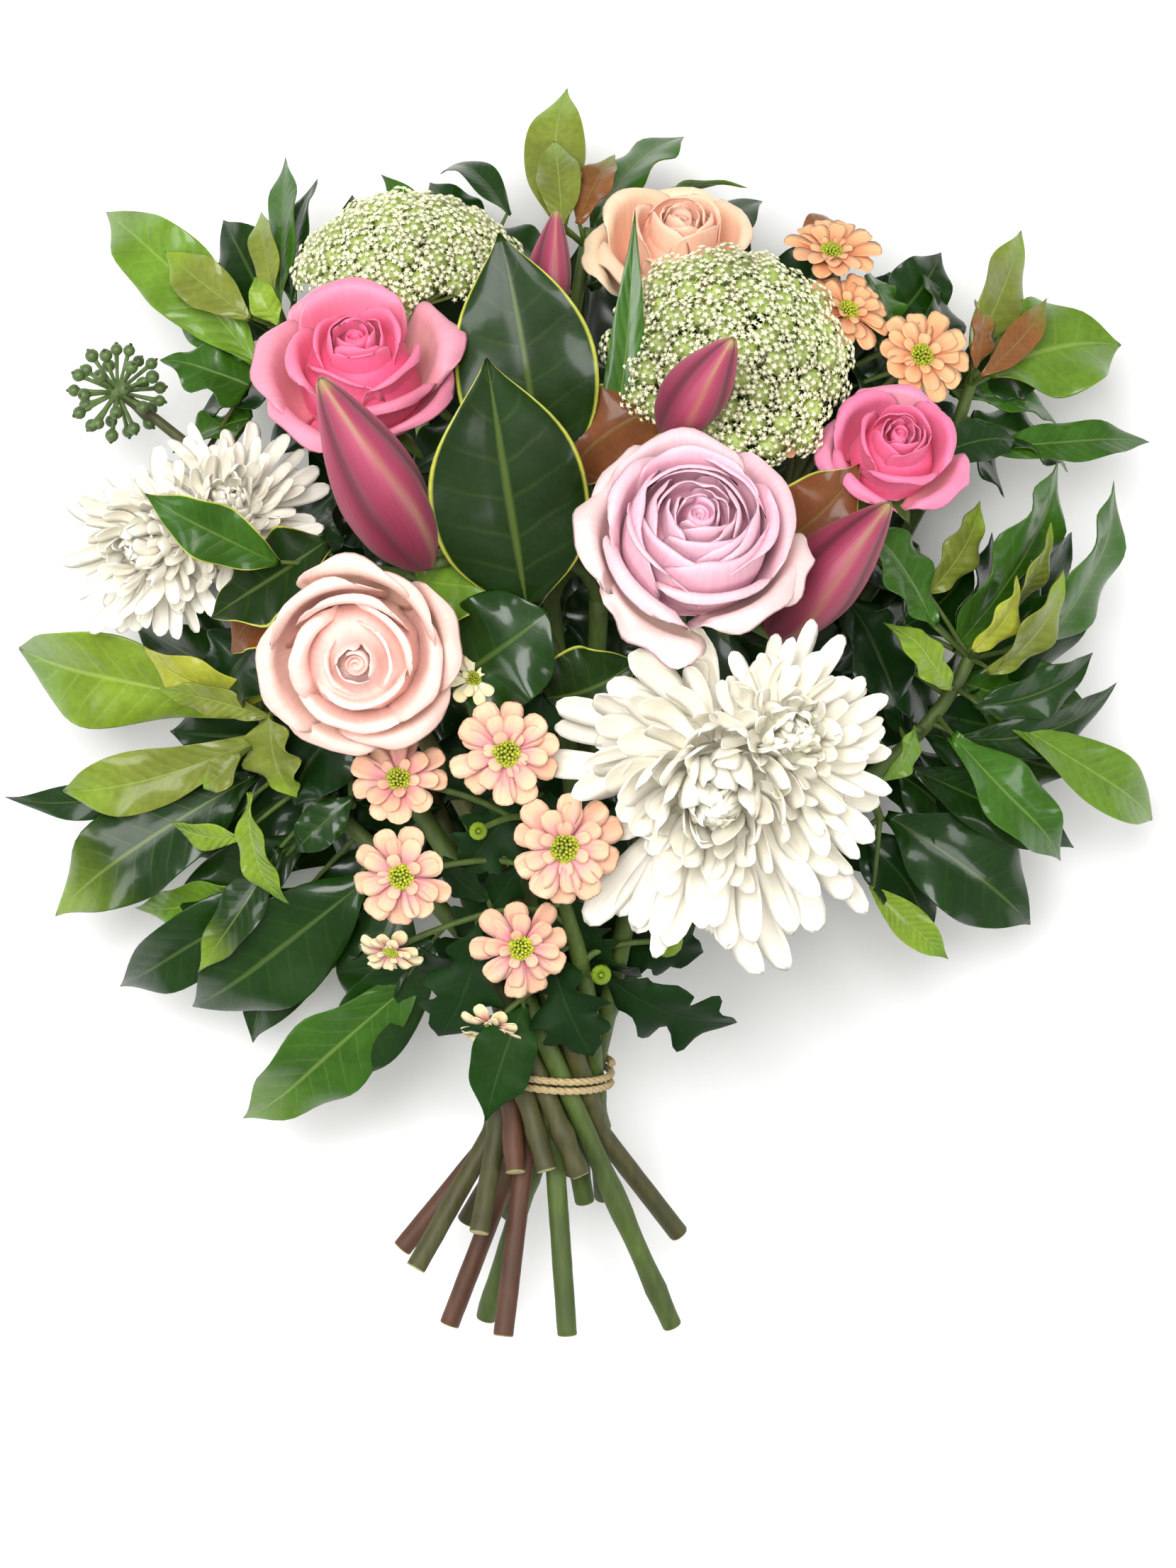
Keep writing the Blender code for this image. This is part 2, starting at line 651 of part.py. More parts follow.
# Lily: four closed buds on the side stalks of one stem. Each bud gives its foot, its tip and its width.
LILY_BUDS = (
    ("lily_bud_1", (-61, 82, 184), (-103, 156, 212), 37),
    ("lily_bud_2", (-17, 172, 140), (-12, 220, 146), 19),
    ("lily_bud_3", (30, 132, 172), (56, 171, 208), 29),
    ("lily_bud_4", (70, 55, 148), (116, 108, 172), 33),
)


def lily_bud(name, foot, tip, width):
    """A closed bud with three ridges, the keels of its outer tepals."""
    foot, tip = seen(foot), seen(tip)
    length = (tip - foot).length
    rings = ((0.0, 0.0), (0.02, 0.3), (0.2, 0.85), (0.42, 1.0), (0.68, 0.74), (0.9, 0.34), (1.0, 0.0))
    profile = [(rise * length, reach * width / 2) for rise, reach in rings]
    bouquet.add(name, [turned(6, profile, frame(foot, tip - foot), 3, 0.08)], MAGENTA, 0.5)


def lily_stem():
    line = stem_line(0, 40, seen((4, 70, 132)), (0, 0.85, 0.5))
    pieces = [stem(line, 3.6)]
    for _, foot, tip, _ in LILY_BUDS:
        foot = seen(foot)
        pieces.append(twig(twig_line(line, 0.97, foot + (seen(tip) - foot).normalized() * 2), 2.4))
    pieces += leaves((((2, 84, 138), (18, 220, 160), 13),), [line])
    bouquet.add("lily_stem", pieces, STEM_GREEN)


# Lace flowers. Each gives its hub, the way it faces, its radius, how many rays it has and how far they spread.
LACE_FLOWERS = (
    ("lace_flower_left", 3, 100, (-68, 182, 98), (-0.05, 0.9, 0.45), 46, 16, 68),
    ("lace_flower_right", 5, 103, (52, 154, 126), (0.05, 0.33, 0.94), 50, 17, 66),
)


def ray(place, out, length, cushion):
    """One thin ray in the direction out that carries a cushion: rings of heights from its top and reaches."""
    profile = [(0.0, 0.0), *((length + height, reach) for height, reach in cushion)]
    return turned(4, profile, place @ frame(Vector((0, 0, 0)), out))


def lace_flower(name, slot, length, hub, axis, radius, rays, spread):
    """The rays and floret cushions of a lace flower, a dome seen from its hub, on their stem."""
    line = stem_line(slot, length, seen(hub), axis)
    radius *= drawn_in(hub[2])
    place = frame(seen(hub), axis)
    small = radius * 0.2
    cushion = ((-0.28 * radius, 0.8), (-0.35 * small, small), (0.25 * small, 0.55 * small), (0.35 * small, 0.0))
    pieces = [stem(line, 2.6), ball(seen(hub), 5)]
    spread = math.radians(spread)
    for k in range(rays):
        out = polar_vector(spread * math.sqrt((k + 0.4) / rays), k * GOLDEN_ANGLE)
        reach = radius / math.sin(spread) * (1 - 0.12 * out.z)
        pieces.append(ray(place, out, reach, cushion))
    bouquet.add(name, pieces, LACE, 0.8)


# Ivy: a round head of stalked berries, with a leaf beside it.
IVY_HUB = (-180, 150, 74)
IVY_RADIUS = 20.0
IVY_BERRIES = 16
BERRY_RADIUS = 3.2


def ivy():
    hub = seen(IVY_HUB)
    line = stem_line(11, 34, hub, (-0.75, 0.5, 0.0))
    pieces = [stem(line, 1.9), ball(hub, 5)]
    rings = ((-0.8, 0.3), (0.0, 1.0), (0.8, 0.0))
    berry = [(BERRY_RADIUS * height, BERRY_RADIUS * reach) for height, reach in rings]
    for k in range(IVY_BERRIES):
        out = polar_vector(math.acos(1 - 1.8 * (k + 0.5) / IVY_BERRIES), k * GOLDEN_ANGLE)
        pieces.append(ray(frame(hub, UP), out, IVY_RADIUS - BERRY_RADIUS, berry))
    pieces += leaves((((-129, 152, 92), (-164, 164, 88), 26, {"stations": IVY_LEAF}),
                      ((-128, 140, 84), (-160, 128, 74), 24, {"stations": IVY_LEAF})), [line])
    bouquet.add("ivy_berries", pieces, FRESH_GREEN)


# Magnolia: large stiff leaves. The two widest stand upright in the middle of the bouquet.
MAGNOLIA_LEAVES = (
    ((-23, 67, 176), (-39, 163, 200), 56, {"face": Vector((0.1, -0.1, 1)), "arch": 0.05, "cup": 0.12}),
    ((-18, 114, 150), (-34, 211, 160), 50, {"face": Vector((-0.1, 0.0, 1)), "arch": 0.03, "cup": 0.14}),
    ((-9, 118, 154), (34, 146, 160), 34),
    ((60, 86, 150), (104, 122, 160), 32),
    ((-16, 32, 166), (18, 44, 182), 34, {"cup": 0.4}),
    ((-66, 78, 168), (-32, 74, 182), 26),
    ((-100, 93, 150), (-145, 64, 138), 34),
    ((-108, 76, 140), (-138, 50, 126), 28),
    ((-118, 84, 156), (-170, 110, 164), 22),
)


def magnolia():
    line = stem_line(1, 42, seen((-18, 112, 146)), (-0.05, 0.8, 0.55))
    shoots = [line]
    for share, end in ((0.66, (-100, 84, 142)), (0.8, (60, 84, 142)), (0.68, (-23, 64, 168))):
        shoots.append(twig_line(line, share, seen(end)))
    pieces = [stem(line, 3.2)] + [twig(shoot, 2.2) for shoot in shoots[1:]]
    pieces += leaves(MAGNOLIA_LEAVES, shoots)
    bouquet.add("magnolia_branch", pieces, DEEP_GREEN, 0.35)


# Glossy foliage. Each branch gives its slot, its stem's length below the binding, its tip, the way it
# arrives there, its thickness at the tip, its forks and its leaves.
LEFT_LEAVES = (
    ((-126, 28, 92), (-222, 48, 62), 39),
    ((-123, 33, 112), (-171, 52, 98), 20),
    ((-120, 21, 106), (-202, -3, 74), 23),
    ((-140, 12, 84), (-225, -6, 48), 15),
    ((-121, 28, 120), (-112, -6, 112), 28),
    ((-126, 4, 96), (-208, -51, 58), 36, {"curl": 0.08}),
    ((-129, -3, 116), (-117, -48, 100), 15, {"twist": 1.2}),
    ((-90, -5, 118), (-114, -27, 112), 16, {"curl": 0.2}),
    ((-124, -40, 72), (-174, -50, 54), 18),
    ((-105, -39, 82), (-183, -85, 46), 27, {"curl": 0.1}),
    ((-84, -36, 94), (-154, -91, 64), 39, {"curl": 0.08}),
    ((-63, -72, 88), (-132, -135, 50), 33, {"curl": 0.06}),
    ((-118, -24, 94), (-150, -72, 72), 18),
)
RIGHT_LEAVES = (
    ((170, 50, 92), (205, 115, 72), 30),
    ((139, 51, 100), (184, 123, 84), 36),
    ((132, 60, 118), (103, 103, 130), 25),
    ((129, 72, 112), (151, 108, 108), 18),
    ((139, 36, 126), (120, 63, 140), 15, {"curl": 0.2}),
    ((147, 51, 118), (166, 79, 114), 16),
    ((153, 42, 110), (184, 81, 104), 19),
    ((147, 30, 108), (195, 49, 88), 19),
    ((138, 18, 104), (205, 37, 70), 18),
    ((151, 31, 98), (222, -13, 50), 23),
    ((139, 19, 114), (187, -28, 92), 25, {"curl": 0.06}),
    ((123, 6, 92), (188, -25, 64), 22),
    ((114, -12, 88), (172, -55, 58), 36),
)
TOP_LEAVES = (
    ((-10, 210, 96), (-8, 267, 60), 22),
    ((-10, 213, 106), (-13, 247, 80), 16),
    ((-4, 214, 98), (10, 242, 80), 14),
    ((2, 212, 66), (35, 250, 52), 27),
    ((6, 208, 56), (58, 235, 50), 14, {"curl": 0.12}),
    ((-58, 196, 66), (-79, 234, 58), 13),
    ((-30, 217, 84), (-56, 242, 58), 12, {"curl": 0.2}),
    ((-126, 160, 96), (-191, 223, 58), 28, {"curl": 0.06}),
    ((-129, 178, 104), (-162, 204, 84), 18),
    ((-126, 162, 90), (-158, 178, 70), 16),
    ((-118, 180, 100), (-116, 240, 60), 15),
    ((-113, 183, 96), (-104, 232, 66), 15),
)
UPPER_RIGHT_LEAVES = (
    ((147, 165, 92), (166, 212, 66), 21),
    ((153, 156, 88), (204, 168, 58), 40),
    ((147, 159, 100), (150, 186, 88), 12),
    ((150, 156, 100), (176, 186, 80), 12),
    ((138, 150, 82), (183, 141, 60), 14, {"curl": 0.1}),
    ((129, 123, 104), (166, 132, 84), 16),
    ((150, 128, 84), (217, 133, 48), 16, {"curl": 0.05}),
    ((116, 174, 96), (108, 196, 84), 24),
    ((82, 206, 92), (96, 219, 74), 12, {"curl": 0.2}),
)
FOLIAGE = (
    ("foliage_left", 10, 36, (-126, 30, 98), (-0.35, 0.9, 0.12), 2.6,
     ((0.72, (-90, -8, 112)),), LEFT_LEAVES),
    ("foliage_right", 16, 70, (148, 52, 100), (0.35, 0.85, 0.1), 2.6,
     ((0.7, (112, -14, 88)),), RIGHT_LEAVES),
    ("foliage_top", 12, 36, (0, 212, 88), (0.15, 0.95, 0.15), 2.4,
     ((0.62, (-122, 176, 92)), (0.8, (-52, 196, 70))), TOP_LEAVES),
    ("foliage_upper_right", 15, 77, (148, 158, 88), (0.25, 0.9, 0.1), 2.4,
     ((0.83, (90, 198, 86)),), UPPER_RIGHT_LEAVES),
)


def foliage(name, slot, length, tip, arrival, radius, forks, table):
    line = stem_line(slot, length, seen(tip), arrival)
    shoots = [line] + [twig_line(line, share, seen(end)) for share, end in forks]
    pieces = [stem(line, radius)] + [twig(shoot, radius * 0.8) for shoot in shoots[1:]]
    bouquet.add(name, pieces + leaves(table, shoots), FRESH_GREEN, 0.4)


# The leaves at the back cover the underside. The first four rest on the surface, round the bouquet's weight.
BACK_LEAVES = (
    ((-20, 46, 24), (-116, -34, 10), 44), ((20, 46, 24), (114, -36, 10), 44),
    ((-20, 100, 24), (-100, 168, 10), 44), ((20, 100, 24), (102, 168, 10), 44),
    ((0, 112, 26), (0, 212, 16), 42), ((0, 36, 30), (-4, -66, 26), 40),
    ((-30, 74, 34), (-150, 70, 32), 44), ((30, 74, 34), (150, 64, 32), 44),
    ((-20, 50, 46), (-84, -50, 50), 38), ((20, 50, 46), (74, -54, 50), 38),
    ((-10, 115, 50), (-62, 212, 50), 38), ((10, 115, 50), (62, 208, 50), 38),
)
BACK_RESTING = 4


def back_leaves(lines):
    """Leaves with their upper side down. The resting ones are set to sink below the surface by the trim."""
    made = []
    for k, (base, tip, width) in enumerate(BACK_LEAVES):
        rests = k < BACK_RESTING
        shape = {"face": -UP, "arch": 0.13 if rests else 0.05, "cup": 0.0 if rests else 0.1, "stations": BACK_LEAF}
        shape["thickness"] = 1.8 if rests else LEAF_THICKNESS
        made += leaves(((base, tip, width, shape),), lines)
        if rests:
            lowest = min(vertex.co.z for vertex in made[-1].data.vertices)
            made[-1].data.transform(Matrix.Translation((0, 0, -lowest - FLAT_TRIM * MM)))
    return made


def back_foliage():
    """The branch at the back, trimmed flat where its leaves touch the surface."""
    line = stem_line(13, 60, seen((0, 100, 28)), (0.0, 1.0, -0.05))
    pieces = [stem(line, 3.6)] + back_leaves([line])
    below = bmesh.new()
    bmesh.ops.create_cube(below, size=600.0, matrix=Matrix.Translation((0, 60, -300)))
    floor = mesh_object(below)
    bouquet.clearances.append((floor, box_of(floor)))
    bouquet.add("foliage_back", pieces, GREEN, 0.45)


def tie():
    """Turns of twine that follow the narrow waist of the bundle, and a gap round the outer stems."""
    right, front = binding_sides()
    outer = SLOT_SPACING * SLOT_RINGS[-1][1]
    pitch = 2 * TWINE_RADIUS + 0.6
    points = []
    for k in range(TIE_TURNS * TURN_POINTS + 1):
        turn = 2 * math.pi * k / TURN_POINTS
        rise = pitch * (k / TURN_POINTS - TIE_TURNS / 2)
        reach = outer * math.hypot(1, SPIRAL * rise) + STEM_RADIUS + TWINE_GAP + TWINE_RADIUS
        points.append(BINDING + BUNDLE_AXIS * rise + (right * math.cos(turn) + front * math.sin(turn)) * reach)
    bouquet.add("tie", [tube(points, [TWINE_RADIUS] * len(points), resolution=0)], TWINE, 0.9)


for leftover in list(bpy.data.objects):
    bpy.data.objects.remove(leftover)
bouquet = Bouquet()
tie()
for row in ROSES:
    rose_bloom(*row)
for row in FRONT_FLORETS[:FLORETS_IN_FRONT]:
    floret(*row, whole=True)
white_chrysanthemums()
for row in FRONT_FLORETS[FLORETS_IN_FRONT:] + RIGHT_FLORETS:
    floret(*row)
for row in LILY_BUDS:
    lily_bud(*row)
for name, centre, axis, radius, _, _ in ROSES:
    rose_stem(name, centre, axis, radius)
white_stem("chrysanthemum_white_right", 17, 70, (0.15, 0.1, 0.95))
white_stem("chrysanthemum_white_left", 9, 99, (-0.5, 0.4, 0.7))
lily_stem()
spray_stem("spray_stem_front", 7, 56, (-0.1, 0.35, 0.95), FRONT_FLORETS, FRONT_BUDS, FRONT_LEAVES, GREEN)
spray_stem("spray_stem_right", 14, 78, (0.2, 0.9, 0.35), RIGHT_FLORETS, (), (), STEM_GREEN)
for row in LACE_FLOWERS:
    lace_flower(*row)
ivy()
magnolia()
for row in FOLIAGE:
    foliage(*row)
back_foliage()
bouquet.settle()
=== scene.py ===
"""A hand-tied bouquet lying on its back, dressed for its picture: roses, white chrysanthemums, lily buds,
lace flowers, spray chrysanthemums, ivy berries, magnolia and mixed foliage.

It is laid out as a Blender add-on and run as a script. Lengths in the tables are millimetres and become
metres as each mesh is made. +X is the bouquet's right, +Y runs from the stem ends to the flowers, and +Z is
up, towards the eye that looks down on the flowers.
"""

import math

import bpy
import numpy as np
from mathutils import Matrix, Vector


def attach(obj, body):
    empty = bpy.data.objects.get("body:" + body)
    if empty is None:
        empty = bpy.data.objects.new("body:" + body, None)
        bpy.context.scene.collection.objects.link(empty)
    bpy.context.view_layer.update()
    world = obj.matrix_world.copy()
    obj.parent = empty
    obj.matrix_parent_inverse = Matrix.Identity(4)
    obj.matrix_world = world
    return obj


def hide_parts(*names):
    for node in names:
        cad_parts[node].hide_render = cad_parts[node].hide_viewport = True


bl_info = {
    "name": "Hand-tied bouquet",
    "version": (1, 0, 0),
    "blender": (4, 5, 0),
    "location": "View3D > Sidebar > Bouquet",
    "description": "Dresses the bouquet's solids with petals, veined leaves, stems and florets",
    "category": "Object",
}

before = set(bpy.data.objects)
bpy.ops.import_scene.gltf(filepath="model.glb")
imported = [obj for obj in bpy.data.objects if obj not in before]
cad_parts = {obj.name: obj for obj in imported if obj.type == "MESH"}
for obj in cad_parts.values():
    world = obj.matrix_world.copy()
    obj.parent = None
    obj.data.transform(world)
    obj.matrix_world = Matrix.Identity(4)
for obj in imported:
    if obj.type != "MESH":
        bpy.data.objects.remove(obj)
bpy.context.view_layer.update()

MM = 0.001
SETTLED = np.array((1.635, -29.908, 0.0))
EYE_HEIGHT = 2000.0
PLANE_HEIGHT = 100.0
GOLDEN_ANGLE = math.pi * (3 - math.sqrt(5))
UP = np.array((0.0, 0.0, 1.0))
HEART = np.array((0.0, 60.0, 20.0))

# The bundle of stems, as in the solids.
BINDING = np.array((-14.0, -110.0, 84.0))
BUNDLE_AXIS = np.array((0.06, 0.98, 0.185)) / np.linalg.norm((0.06, 0.98, 0.185))
SLOT_SPACING = 8.6
SLOT_RINGS = ((1, 0.0, 0.0), (6, 1.0, 0.0), (12, 1.965, 15.0))
SPIRAL = 0.03
STEM_RADIUS = 3.85
STRAIGHT_RISE = 22.0
TAIL_SHIFTS = {3: -6.0, 4: -4.0, 5: -6.5, 8: 18.0, 14: -8.0, 15: -12.0}
TAIL_STRAIGHT = 0.35
SOLID_STEPS = 4
TWINE_RADIUS = 1.5
TWINE_GAP = 0.8
TIE_TURNS = 2
TURN_GAP = 0.6
TURN_POINTS = 36
TWINE_STRANDS = 3.0
TWINE_POINTS = 460
TWINE_SIDES = 24
STRAND_DEPTH = 0.28

# The steps in a stem's straight part, in its curve and in a side shoot, and the swellings where leaves have
# been, placed in steps from the start of the curve.
TAIL_STEPS = 24
BEND_STEPS = 16
TWIG_STEPS = 10
NODES = 3
NODE_SPAN = (-23, -9)
NODE_RISE = 0.6
NODE_WIDTH = 1.1

# Where the random draws of each kind of piece start. Its pieces, or the leaves of its branches, count on.
SEEDS = {"nodes": 600, "roses": 11, "whites": 31, "sprays": 51, "ivy": 70, "lilies": 90, "lace": 110,
         "branches": 130, "back": 300, "filling": 340}
SPRAYS_APART = 20
BRANCHES_APART = 40

# How thick the stems are at their heads.
HEAD_RADII = {"white": 3.4, "spray": 1.8, "lily": 3.6, "lace": 2.6, "ivy": 1.9, "back": 3.6}


# Settings

def colour(name, about, default):
    return bpy.props.FloatVectorProperty(
        name=name, description=about, default=default, size=3, min=0.0, max=1.0, subtype="COLOR_GAMMA")


def amount(name, about, default, most, least=0.0, **kind):
    return bpy.props.FloatProperty(name=name, description=about, default=default, min=least, max=most, **kind)


def length(name, about, millimetres, most=50.0):
    return amount(name, about, millimetres * MM, most * MM, subtype="DISTANCE", unit="LENGTH", precision=5)


def whole(name, about, default, most=200):
    return bpy.props.IntProperty(name=name, description=about, default=default, min=1, max=most)


class BloomSettings(bpy.types.PropertyGroup):
    """Colours and sizes of the flowers."""

    hot_pink_heart: colour("Hot pink heart", "Inner petals of the left hot pink rose", (0.94, 0.40, 0.58))
    hot_pink_rim: colour("Hot pink rim", "Outer petals of the left hot pink rose", (0.92, 0.62, 0.69))
    deep_pink_heart: colour("Deep pink heart", "Inner petals of the right hot pink rose", (0.92, 0.41, 0.58))
    deep_pink_rim: colour("Deep pink rim", "Outer petals of the right hot pink rose", (0.91, 0.54, 0.68))
    lavender_heart: colour("Lavender heart", "Inner petals of the lavender rose", (0.91, 0.71, 0.79))
    lavender_rim: colour("Lavender rim", "Outer petals of the lavender rose", (0.95, 0.83, 0.81))
    blush_heart: colour("Blush heart", "Inner petals of the blush rose", (1.0, 0.87, 0.83))
    blush_rim: colour("Blush rim", "Outer petals of the blush rose", (0.97, 0.79, 0.74))
    peach_heart: colour("Peach heart", "Inner petals of the peach rose", (0.99, 0.78, 0.68))
    peach_rim: colour("Peach rim", "Outer petals of the peach rose", (0.98, 0.87, 0.72))
    white_petal: colour("White petal", "Petals of the white chrysanthemums", (1.0, 0.98, 0.92))
    white_heart: colour("White heart", "Short middle petals of the white chrysanthemums", (1.0, 0.99, 0.88))
    spray_tip: colour("Spray tip", "Petal tips of the front spray chrysanthemums", (0.95, 0.74, 0.60))
    spray_base: colour("Spray base", "Petal bases of the front spray chrysanthemums", (0.88, 0.52, 0.60))
    apricot_tip: colour("Apricot tip", "Petal tips of the right spray chrysanthemums", (0.97, 0.73, 0.53))
    apricot_base: colour("Apricot base", "Petal bases of the right spray chrysanthemums", (0.86, 0.50, 0.33))
    disc: colour("Disc", "Middle of the spray chrysanthemums", (0.66, 0.70, 0.16))
    lily: colour("Lily", "Closed lily buds", (0.66, 0.23, 0.36))
    lily_shade: colour("Lily shade", "The darker lower part of the lily buds", (0.42, 0.10, 0.20))
    lily_keel: colour("Lily keel", "The stripe along each keel of a lily bud", (0.62, 0.60, 0.34))
    lace: colour("Lace", "Florets of the lace flowers", (0.96, 0.96, 0.82))
    lace_stalk: colour("Lace stalk", "Rays of the lace flowers", (0.66, 0.73, 0.40))
    petal_thickness: length("Petal thickness", "Thickness of a rose petal", 0.5)


class GreenerySettings(bpy.types.PropertyGroup):
    """Colours and sizes of the leaves and berries."""

    fresh: colour("Fresh", "Young light leaves", (0.48, 0.59, 0.16))
    bright: colour("Bright", "Bright green leaves", (0.38, 0.52, 0.14))
    middle: colour("Middle", "Middle green leaves", (0.20, 0.36, 0.08))
    dark: colour("Dark", "Dark glossy leaves", (0.08, 0.20, 0.03))
    # The darkest tint is partly the leaves' own deep green and partly painted shade, for the leaves down under
    # and between the blooms.
    deep: colour("Deep", "The darkest leaves at the back", (0.06, 0.17, 0.04))
    olive: colour("Olive", "Olive leaves", (0.44, 0.48, 0.18))
    yellow: colour("Yellow", "Yellow-green new leaves", (0.60, 0.62, 0.20))
    reddish: colour("Reddish", "Reddish new leaves", (0.52, 0.33, 0.18))
    magnolia: colour("Magnolia", "Upper side of the magnolia leaves", (0.08, 0.18, 0.02))
    magnolia_edge: colour("Magnolia edge", "The line along the edge of a magnolia leaf", (0.72, 0.74, 0.30))
    magnolia_felt: colour("Magnolia felt", "Brown underside of the magnolia leaves", (0.42, 0.24, 0.12))
    berry: colour("Berry", "Ivy berries", (0.33, 0.42, 0.22))
    leaf_thickness: length("Leaf thickness", "Thickness of a leaf blade", 0.8)
    gloss: amount("Gloss", "How strongly the waxy coat of the leaves shines", 0.42, 1.0, subtype="FACTOR")


class StemSettings(bpy.types.PropertyGroup):
    """Colours and sizes of the stems and the tie."""

    green: colour("Green", "Green stems", (0.28, 0.36, 0.12))
    olive: colour("Olive", "Olive stems", (0.28, 0.28, 0.12))
    brown: colour("Brown", "Brown and reddish stems", (0.35, 0.21, 0.12))
    cut: colour("Cut", "The pale cut ends", (0.72, 0.70, 0.48))
    twine: colour("Twine", "The tie round the bundle", (0.68, 0.60, 0.44))
    sides: whole("Sides", "How many sides a stem has", 14, 64)
    bumps: length("Bumps", "How far the skin of a stem stands in and out", 0.22, 2.0)
    strand_turns: whole("Strand turns", "How often the strands of the twine turn in one turn of the tie", 16)


class StageSettings(bpy.types.PropertyGroup):
    """The floor, the lights and the camera."""

    floor: colour("Floor", "The pale floor", (0.97, 0.97, 0.97))
    key: amount("Key light", "Strength of the large soft light", 50.0, 500.0, unit="POWER")
    fill: amount("Side lights", "Strength of the lights on both sides", 15.0, 500.0, unit="POWER")
    sky: amount("Sky", "Strength of the light from all round", 0.42, 5.0)
    eye: amount("Eye", "Height of the camera above the floor", EYE_HEIGHT * MM, 10.0, 0.5, subtype="DISTANCE",
                unit="LENGTH")
    lens: amount("Lens", "Focal length for a 36 mm high sensor", 114.0, 400.0, 10.0, subtype="DISTANCE_CAMERA")


class BouquetSettings(bpy.types.PropertyGroup):
    """Everything that a user may change before the bouquet is dressed."""

    blooms: bpy.props.PointerProperty(type=BloomSettings)
    greenery: bpy.props.PointerProperty(type=GreenerySettings)
    stems: bpy.props.PointerProperty(type=StemSettings)
    stage: bpy.props.PointerProperty(type=StageSettings)


def settings():
    return bpy.context.scene.bouquet


# Places and curves

def vec(*values):
    return np.array(values, float)


def unit(vector):
    return vector / max(np.linalg.norm(vector), 1e-9)


def units(vectors):
    return vectors / np.maximum(np.linalg.norm(vectors, axis=-1, keepdims=True), 1e-9)


def drawn_in(z):
    return (EYE_HEIGHT - z) / (EYE_HEIGHT - PLANE_HEIGHT)


def seen(place):
    """The point at the height of place that shows at its x and y against the plane."""
    x, y, z = place
    return vec(x * drawn_in(z), y * drawn_in(z), z)


def turned_to(axis):
    """The rotation of a bloom whose own +Z is axis."""
    return np.array(Vector(axis).normalized().to_track_quat("Z", "Y").to_matrix())


def polar_vector(polar, azimuth):
    return vec(math.sin(polar) * math.cos(azimuth), math.sin(polar) * math.sin(azimuth), math.cos(polar))


def bezier(controls, shares):
    """Points at the shares of a Bezier curve of any degree."""
    shares = np.asarray(shares, float)[..., None]
    points = [np.asarray(control, float) for control in controls]
    while len(points) > 1:
        points = [a + (b - a) * shares for a, b in zip(points, points[1:])]
    return points[0]


def smooth(low, high, value):
    step = np.clip((value - low) / (high - low), 0.0, 1.0)
    return step * step * (3 - 2 * step)


def linear(display):
    """A colour as the shader reads it, from the way it looks."""
    display = np.asarray(display, float)
    return np.where(display <= 0.04045, display / 12.92, ((display + 0.055) / 1.055) ** 2.4)


def slot_place(slot):
    """Where a slot of the binding lies in its plane."""
    for count, ring, turned_by in SLOT_RINGS:
        if slot < count:
            angle = math.radians(turned_by) + 2 * math.pi * slot / count
            return SLOT_SPACING * ring * math.cos(angle), SLOT_SPACING * ring * math.sin(angle)
        slot -= count
    raise ValueError("no such slot")


def binding_sides():
    """The two directions across the bundle, to its right and to its front."""
    right = unit(vec(1, 0, 0) - BUNDLE_AXIS * BUNDLE_AXIS[0])
    return right, np.cross(right, BUNDLE_AXIS)


class StemLine:
    """The line of a stem: a straight tail through the binding, then a curve to its head."""

    def __init__(self, slot, tail_length, head, arrival):
        a, b = slot_place(slot)
        right, front = binding_sides()
        start = BINDING + right * a + front * b
        along = BUNDLE_AXIS + (front * a - right * b) * SPIRAL
        rise = start + along * STRAIGHT_RISE
        span = np.linalg.norm(head - rise)
        arrival = unit(vec(*arrival))
        self.bend = [rise, rise + unit(along) * span * 0.4, head - arrival * span * 0.35, head]
        self.tail = [start - along * tail_length + right * TAIL_SHIFTS.get(slot, 0.0)]
        if slot in TAIL_SHIFTS:
            self.tail.append(start - along * tail_length * TAIL_STRAIGHT)
        self.slot = slot
        low = [near + (far - near) * step / TAIL_STEPS for near, far in zip(self.tail, self.tail[1:] + [rise])
               for step in range(TAIL_STEPS)]
        self.points = np.array(low + list(bezier(self.bend, np.linspace(0, 1, BEND_STEPS + 1))))

    def at(self, place):
        """The point and the direction at the share of the solid's own line."""
        spot = place * (len(self.tail) + SOLID_STEPS)
        if spot >= len(self.tail):
            here = (spot - len(self.tail)) / SOLID_STEPS
            near = bezier(self.bend, np.clip([here - 0.01, here, here + 0.01], 0, 1))
            return near[1], unit(near[2] - near[0])
        line = self.tail + [self.bend[0]]
        step = int(spot)
        return line[step] + (line[step + 1] - line[step]) * (spot - step), unit(line[step + 1] - line[step])

    def radii(self, head_radius):
        """The stem slims towards its head and swells at a few nodes in its straight part."""
        places = np.arange(len(self.points)) - (len(self.points) - BEND_STEPS - 1)
        nodes = np.random.default_rng(SEEDS["nodes"] + self.slot).uniform(*NODE_SPAN, NODES)
        swell = sum(NODE_RISE * np.exp(-((places - node) / NODE_WIDTH) ** 2) for node in nodes)
        return STEM_RADIUS + (head_radius - STEM_RADIUS) * np.clip(places / BEND_STEPS, 0, 1) + swell


def twig_line(stem, place, end):
    """A side shoot from a share of a stem, leaving along the stem and curving to its end."""
    start, along = stem.at(place)
    middle = start + along * np.linalg.norm(end - start) * 0.45
    return bezier([start, middle, end], np.linspace(0, 1, TWIG_STEPS + 1))


def nearest(point, lines):
    """The place nearest to point on any of the lines."""
    spots = np.concatenate([np.concatenate([bezier(pair, (0.0, 0.33, 0.67)) for pair in zip(line, line[1:])])
                            for line in lines])
    return spots[np.argmin(np.linalg.norm(spots - point, axis=1))]


# Meshes

# What the values of each kind of attribute are called.
FIELDS = {"FLOAT": "value", "FLOAT_COLOR": "color", "FLOAT_VECTOR": "vector"}
TURNED_SIDES = 12


